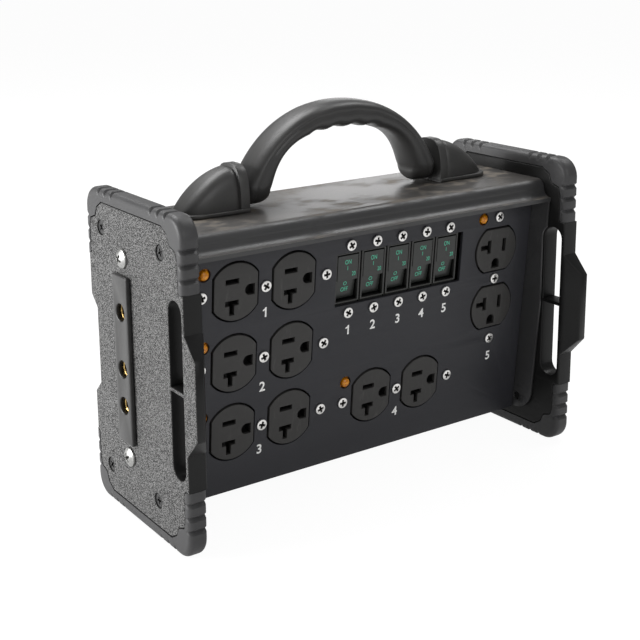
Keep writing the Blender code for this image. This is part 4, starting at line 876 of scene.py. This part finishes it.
contacts = [("hot", 0.0282), ("ground", -0.0053), ("neutral", -0.0271)]
proud, well_depth, core_depth = 0.0030, 0.0230, 0.0300
face_outline = round_pins(0.00875, 0.0495, 0.0010, 3)
core_outline = round_pins(0.0075, 0.0450, 0.0008, 3)
mouths = [circle((pin_y, pin_z + offset), 0.0051, 40) for name, offset in contacts]
bores = [circle((pin_y, pin_z + offset), 0.0061, 40) for name, offset in contacts]
face = cut_sheet([face_outline] + mouths, 0.0003, proud, 0.0007)
tunnel = cut_sheet([core_outline] + bores, -well_depth, 0.0010, 0.0002, 1)
closed_end = cut_sheet([core_outline], -core_depth, -well_depth - 0.0001, 0.0004)
facing_left = Matrix.Translation((-outside, 0, 0)) @ Matrix.Diagonal((-1, 1, 1, 1)) @ across_x(0.0)
piece("feed_through_moulding", [moved(mesh, facing_left) for mesh in (face, tunnel, closed_end)],
      phenolic.owner, "base", ["feed_through_block"])
tube = turned([(0.0042, -0.0034), (0.0047, -0.0030), (0.0054, -0.0030), (0.0058, -0.0034), (0.0058, -0.0257),
               (0.0042, -0.0257), (0.0042, -0.0034)])
for name, offset in contacts:
    place = Matrix.Translation((-outside - proud, pin_y, pin_z + offset))
    place = place @ Matrix.Rotation(-math.pi / 2, 4, "Y")
    piece("socket_tube_" + name, [tube], brass.owner, "base",
          ["feed_through_socket_" + name], place)

well = rectangle(pin_y - 0.0059, pin_z - 0.0361, pin_y + 0.0059, pin_z + 0.0372, 0.0012, 3)
roots = [circle((pin_y, pin_z + offset), 0.0042, 32) for name, offset in contacts]
face = cut_sheet([face_outline, well], 0.0003, proud, 0.0007)
tunnel = cut_sheet([core_outline, well], -well_depth, 0.0010, 0.0002, 1)
closed_end = cut_sheet([core_outline] + roots, -core_depth, -well_depth, 0.0003, 1)
piece("inlet_moulding", [face, tunnel, closed_end], phenolic.owner, "base",
      ["inlet_block"], across_x(outside))
pin = turned([(0.0, 0.0240), (0.0016, 0.0239), (0.0024, 0.0236), (0.0034, 0.0228), (0.0039, 0.0218),
              (0.0039, 0.0008), (0.0041, 0.0006), (0.0041, -0.0060), (0.0, -0.0060)])
for name, offset in contacts:
    place = Matrix.Translation((outside - well_depth, pin_y, pin_z + offset))
    place = place @ Matrix.Rotation(math.pi / 2, 4, "Y")
    piece("pin_" + name, [pin], brass.owner, "base", ["inlet_pin_" + name], place)


# End plate screws: two plated pan heads hold each connector, and four black
# countersunk screws hold each plate to the housing.
steel = finish("black_steel", Metallic=0.6)
rub = step(steel, cloud(steel, 0.0012, 3.0), 0.55, 0.72)
blacked = blend(steel, rub, (0.03, 0.03, 0.03), (0.12, 0.12, 0.12))
# painted shade: the cross-shaped pit of each countersunk head is coloured near black
dress(steel, blend(steel, in_recess(steel), blacked, (0.004, 0.004, 0.004)), 0.28 + rub * 0.2, rub, 0.00002)

zinc = finish("zinc_plate", Metallic=1.0)
spangle = cloud(zinc, 0.0009, 3.0)
silver = blend(zinc, spangle, (0.26, 0.26, 0.25), (0.50, 0.50, 0.49))
# painted shade: the cross-shaped pit of each pan head is coloured near black
dress(zinc, blend(zinc, in_recess(zinc), silver, recess_shade), 0.28 + spangle * 0.16, spangle, 0.00003)


def countersunk(spots):
    """The rings of a screw's points, with those of the head's edge set a little lower and the
    shank's first one lower still, so that a cone joins them."""
    rings = spots.reshape(-1, head_steps, 3)
    rings[-5:-3, :, 2] = -0.0003
    rings[-3, :, 2] = -0.0020
    return rings


pan = cross_head(0.0057, 0.0028, 0.00084, 0.0024, 0.0130, 0.005415, 0.0013, 0.0014)
flat = reshaped(cross_head(0.0041, 0.0, -0.0002, 0.0022, 0.0128, 0.0044, 0.0010, 0.0014), countersunk)
for side, end in sides:
    turn = Matrix.Rotation(side * math.pi / 2, 4, "Y")
    for (y, z), level in zip(pan_screws, ("low", "high")):
        place = Matrix.Translation((side * (outside + 0.0003), y, z)) @ turn
        place = place @ Matrix.Rotation(0.5 if level == "low" else 1.1, 4, "Z")
        piece("pan_head_%s_%s" % (end, level), [pan], zinc.owner, "base",
              ["connector_screw_%s_%s" % (end, level)], place)
    for i, (y, z) in enumerate(plate_screws):
        place = Matrix.Translation((side * (outside - 0.0006), y, z)) @ turn
        place = place @ Matrix.Rotation(0.3 + 0.7 * i, 4, "Z")
        piece("flat_head_%s_%d" % (end, i + 1), [flat], steel.owner, "base",
              ["plate_screw_%s_%d" % (end, i + 1)], place)


# Carrying handle: a smooth rubber-covered arch that swings on two pins, with
# four shallow finger hollows under its crown and a groove along each flank.
grip = finish("grip_rubber", Specular_IOR_Level=0.45)
sheen = cloud(grip, 0.020, 3.0)
handled = blend(grip, sheen, (0.022, 0.022, 0.022), (0.042, 0.041, 0.040))
dress(grip, handled, 0.34 + sheen * 0.14, cloud(grip, 0.0006, 2.0), 0.00002)

hinge_y, hinge_z, half_wide = 0.0120, 0.1893, 0.0125


def cubic(a, b, c, d, t):
    """A cubic curve from a to d, pulled towards b and c."""
    a, b, c, d, t = (np.asarray(p, float) for p in (a, b, c, d, t[:, None]))
    s = 1 - t
    return s**3 * a + 3 * s * s * t * b + 3 * s * t * t * c + t**3 * d


# the arch's outer and inner lines, in X and height above the hinge, are each a
# cubic from the crown and then a straight or a round end. Circles of one radius
# bite the finger hollows out of the inner line.
t = np.linspace(0, 1, 61)
leg_x = 0.0706
outer = cubic((0, 0.0440), (0.0475, 0.0440), (0.0660, 0.0080), (leg_x, 0.0), t)
inner = cubic((0, 0.0275), (0.0475, 0.0275), (0.0479, 0.0080), (0.0525, -0.0035), t)
toe = arc((0.0595, -0.0055), 0.0070, 180, 270, 12)
down = np.stack([np.full(14, leg_x), np.linspace(0.0, -0.0125, 14)], 1)
outer = np.concatenate([outer, down[1:]])
inner = np.concatenate([inner, toe])
outer = np.concatenate([(outer * (-1, 1))[::-1], outer[1:]])
inner = np.concatenate([(inner * (-1, 1))[::-1], inner[1:]])
finger_pitch, finger_round, finger_offset = 0.0140, 0.0120, 0.0108
for finger_x in finger_pitch * (np.arange(4) - 1.5):
    bite = np.sqrt(np.clip(finger_round**2 - (inner[:, 0] - finger_x) ** 2, 0, None)) - finger_offset
    inner[:, 1] += np.where(inner[:, 1] > 0.02, np.clip(bite, 0, None), 0.0)

# between the two lines the section is a squared ellipse, with a groove along
# each flank between the outer band and the softer inner one. Below the hinge its
# width follows a circle, so the legs' ends are round from the side too.
thick = np.linalg.norm(outer - inner, axis=1)
radial = (outer - inner) / thick[:, None]
angle = np.linspace(0, 2 * np.pi, 72, endpoint=False)
squared = 2 / 2.9
share = 0.5 + 0.5 * np.sign(np.sin(angle)) * abs(np.sin(angle)) ** squared
groove = np.exp(-(((share - 0.60) / 0.055) ** 2)) * 0.0007
wide = (half_wide - groove) * np.sign(np.cos(angle)) * abs(np.cos(angle)) ** squared
flat_spots = inner[:, None] + radial[:, None] * (thick[:, None] * share)[..., None]
below = np.clip(-flat_spots[..., 1], 0, half_wide - 1e-5)
full_y = wide * np.sqrt(1 - (below / half_wide) ** 2)
grip_spots = np.stack([flat_spots[..., 0], full_y, flat_spots[..., 1]], -1) + (0.0, hinge_y, hinge_z)
piece("handle_arch", [woven(grip_spots)], grip.owner, "handle", ["handle_grip"], crease=50.0)


# Handle mounts: moulded nylon domes that carry the hinge pins, each with a
# raised rim round its inner face and a thin flange on the housing's top.
nose = finish("mount_plastic")
mottle = cloud(nose, 0.009, 3.0)
fine = cloud(nose, 0.0007, 2.0)
mottled = blend(nose, mottle, (0.024, 0.024, 0.024), (0.046, 0.045, 0.043))
dress(nose, mottled, 0.34 + mottle * 0.14 + fine * 0.05, fine, 0.00003)

# a dome is a grid of half sections, each a squared half ellipse over the flange.
# Going outwards along X, the height falls as a power of the way gone, and the
# width holds and then rounds off. A narrow dip parts the dome from its rim.
rim_long, rim_step, mount_long, mount_half, mount_tall = 0.0060, 0.0008, 0.0425, 0.0130, 0.0260
t = np.sin(np.pi / 2 * np.linspace(0, 1, 40))
along = rim_long + rim_step + (mount_long - rim_long - rim_step) * t
taper = np.clip((t - 0.35) / 0.65, 0, None)
half = np.maximum(mount_half * np.sqrt(np.clip(1 - taper**2.2, 0, None)), 0.0026)
tall = np.maximum(mount_tall * (1 - (along / mount_long) ** 2.2), 0.0016)
dip = 0.0007 * np.exp(-(((along - rim_long - rim_step) / 0.0007) ** 2))
half, tall = half - dip, tall - dip
rim_rows = np.array([(0.0, -0.0004), (0.0001, -0.0001), (0.0004, 0.0), (rim_long - 0.0004, 0.0),
                     (rim_long - 0.0001, -0.0001), (rim_long, -0.0004)])
along = np.concatenate([rim_rows[:, 0], along])
half = np.concatenate([mount_half + rim_step + rim_rows[:, 1], half])
tall = np.concatenate([mount_tall + rim_step + rim_rows[:, 1], tall])
angle = np.linspace(0, np.pi, 57)
curl = 2 / 3.2
section_y = np.sign(np.cos(angle)) * abs(np.cos(angle)) ** curl
section_z = np.sin(angle) ** curl
dome = np.stack([along[:, None] + 0 * angle, half[:, None] * section_y, tall[:, None] * section_z], -1)
flange_half, flange_thick = 0.0145, 0.0022
flange_end = arc((mount_long + 0.0015 - flange_half, 0), flange_half, -90, 90, 32)
plan = np.concatenate([[(0.0, flange_half), (0.0, -flange_half)], flange_end])
flange = cut_sheet([plan], 0.0, flange_thick, 0.0006)
mount = [woven(dome), flange]
for side, end in sides:
    place = Matrix.Translation((side * 0.0710, hinge_y, top + 0.0003))
    place = place @ Matrix.Rotation(math.pi if side < 0 else 0.0, 4, "Z")
    piece("mount_dome_" + end, mount, nose.owner, "base", ["handle_mount_" + end], place)


# Hinge pins and bus bars: the steel pins show only in the gaps beside the grip,
# and the copper bars stand on posts inside the housing's back.
pin_steel = finish("pin_steel", Metallic=1.0)
turning = cloud(pin_steel, 0.0007, 2.0, (6.0, 1.0, 1.0))
bright = blend(pin_steel, turning, (0.38, 0.38, 0.38), (0.62, 0.62, 0.61))
dress(pin_steel, bright, 0.22 + turning * 0.2, turning, 0.00002)

copper = finish("bus_copper", Metallic=1.0)
drawn = cloud(copper, 0.0008, 3.0, (20.0, 1.0, 1.0))
reddish = blend(copper, drawn, (0.55, 0.22, 0.13), (0.80, 0.42, 0.28))
dress(copper, reddish, 0.26 + drawn * 0.2, drawn, 0.00002)

for names, metal in (
    (("pivot_pin_left", "pivot_pin_right"), pin_steel),
    (("hot_bus", "neutral_bus"), copper),
):
    for name in names:
        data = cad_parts[name].data
        data.materials.clear()
        data.materials.append(metal.owner)
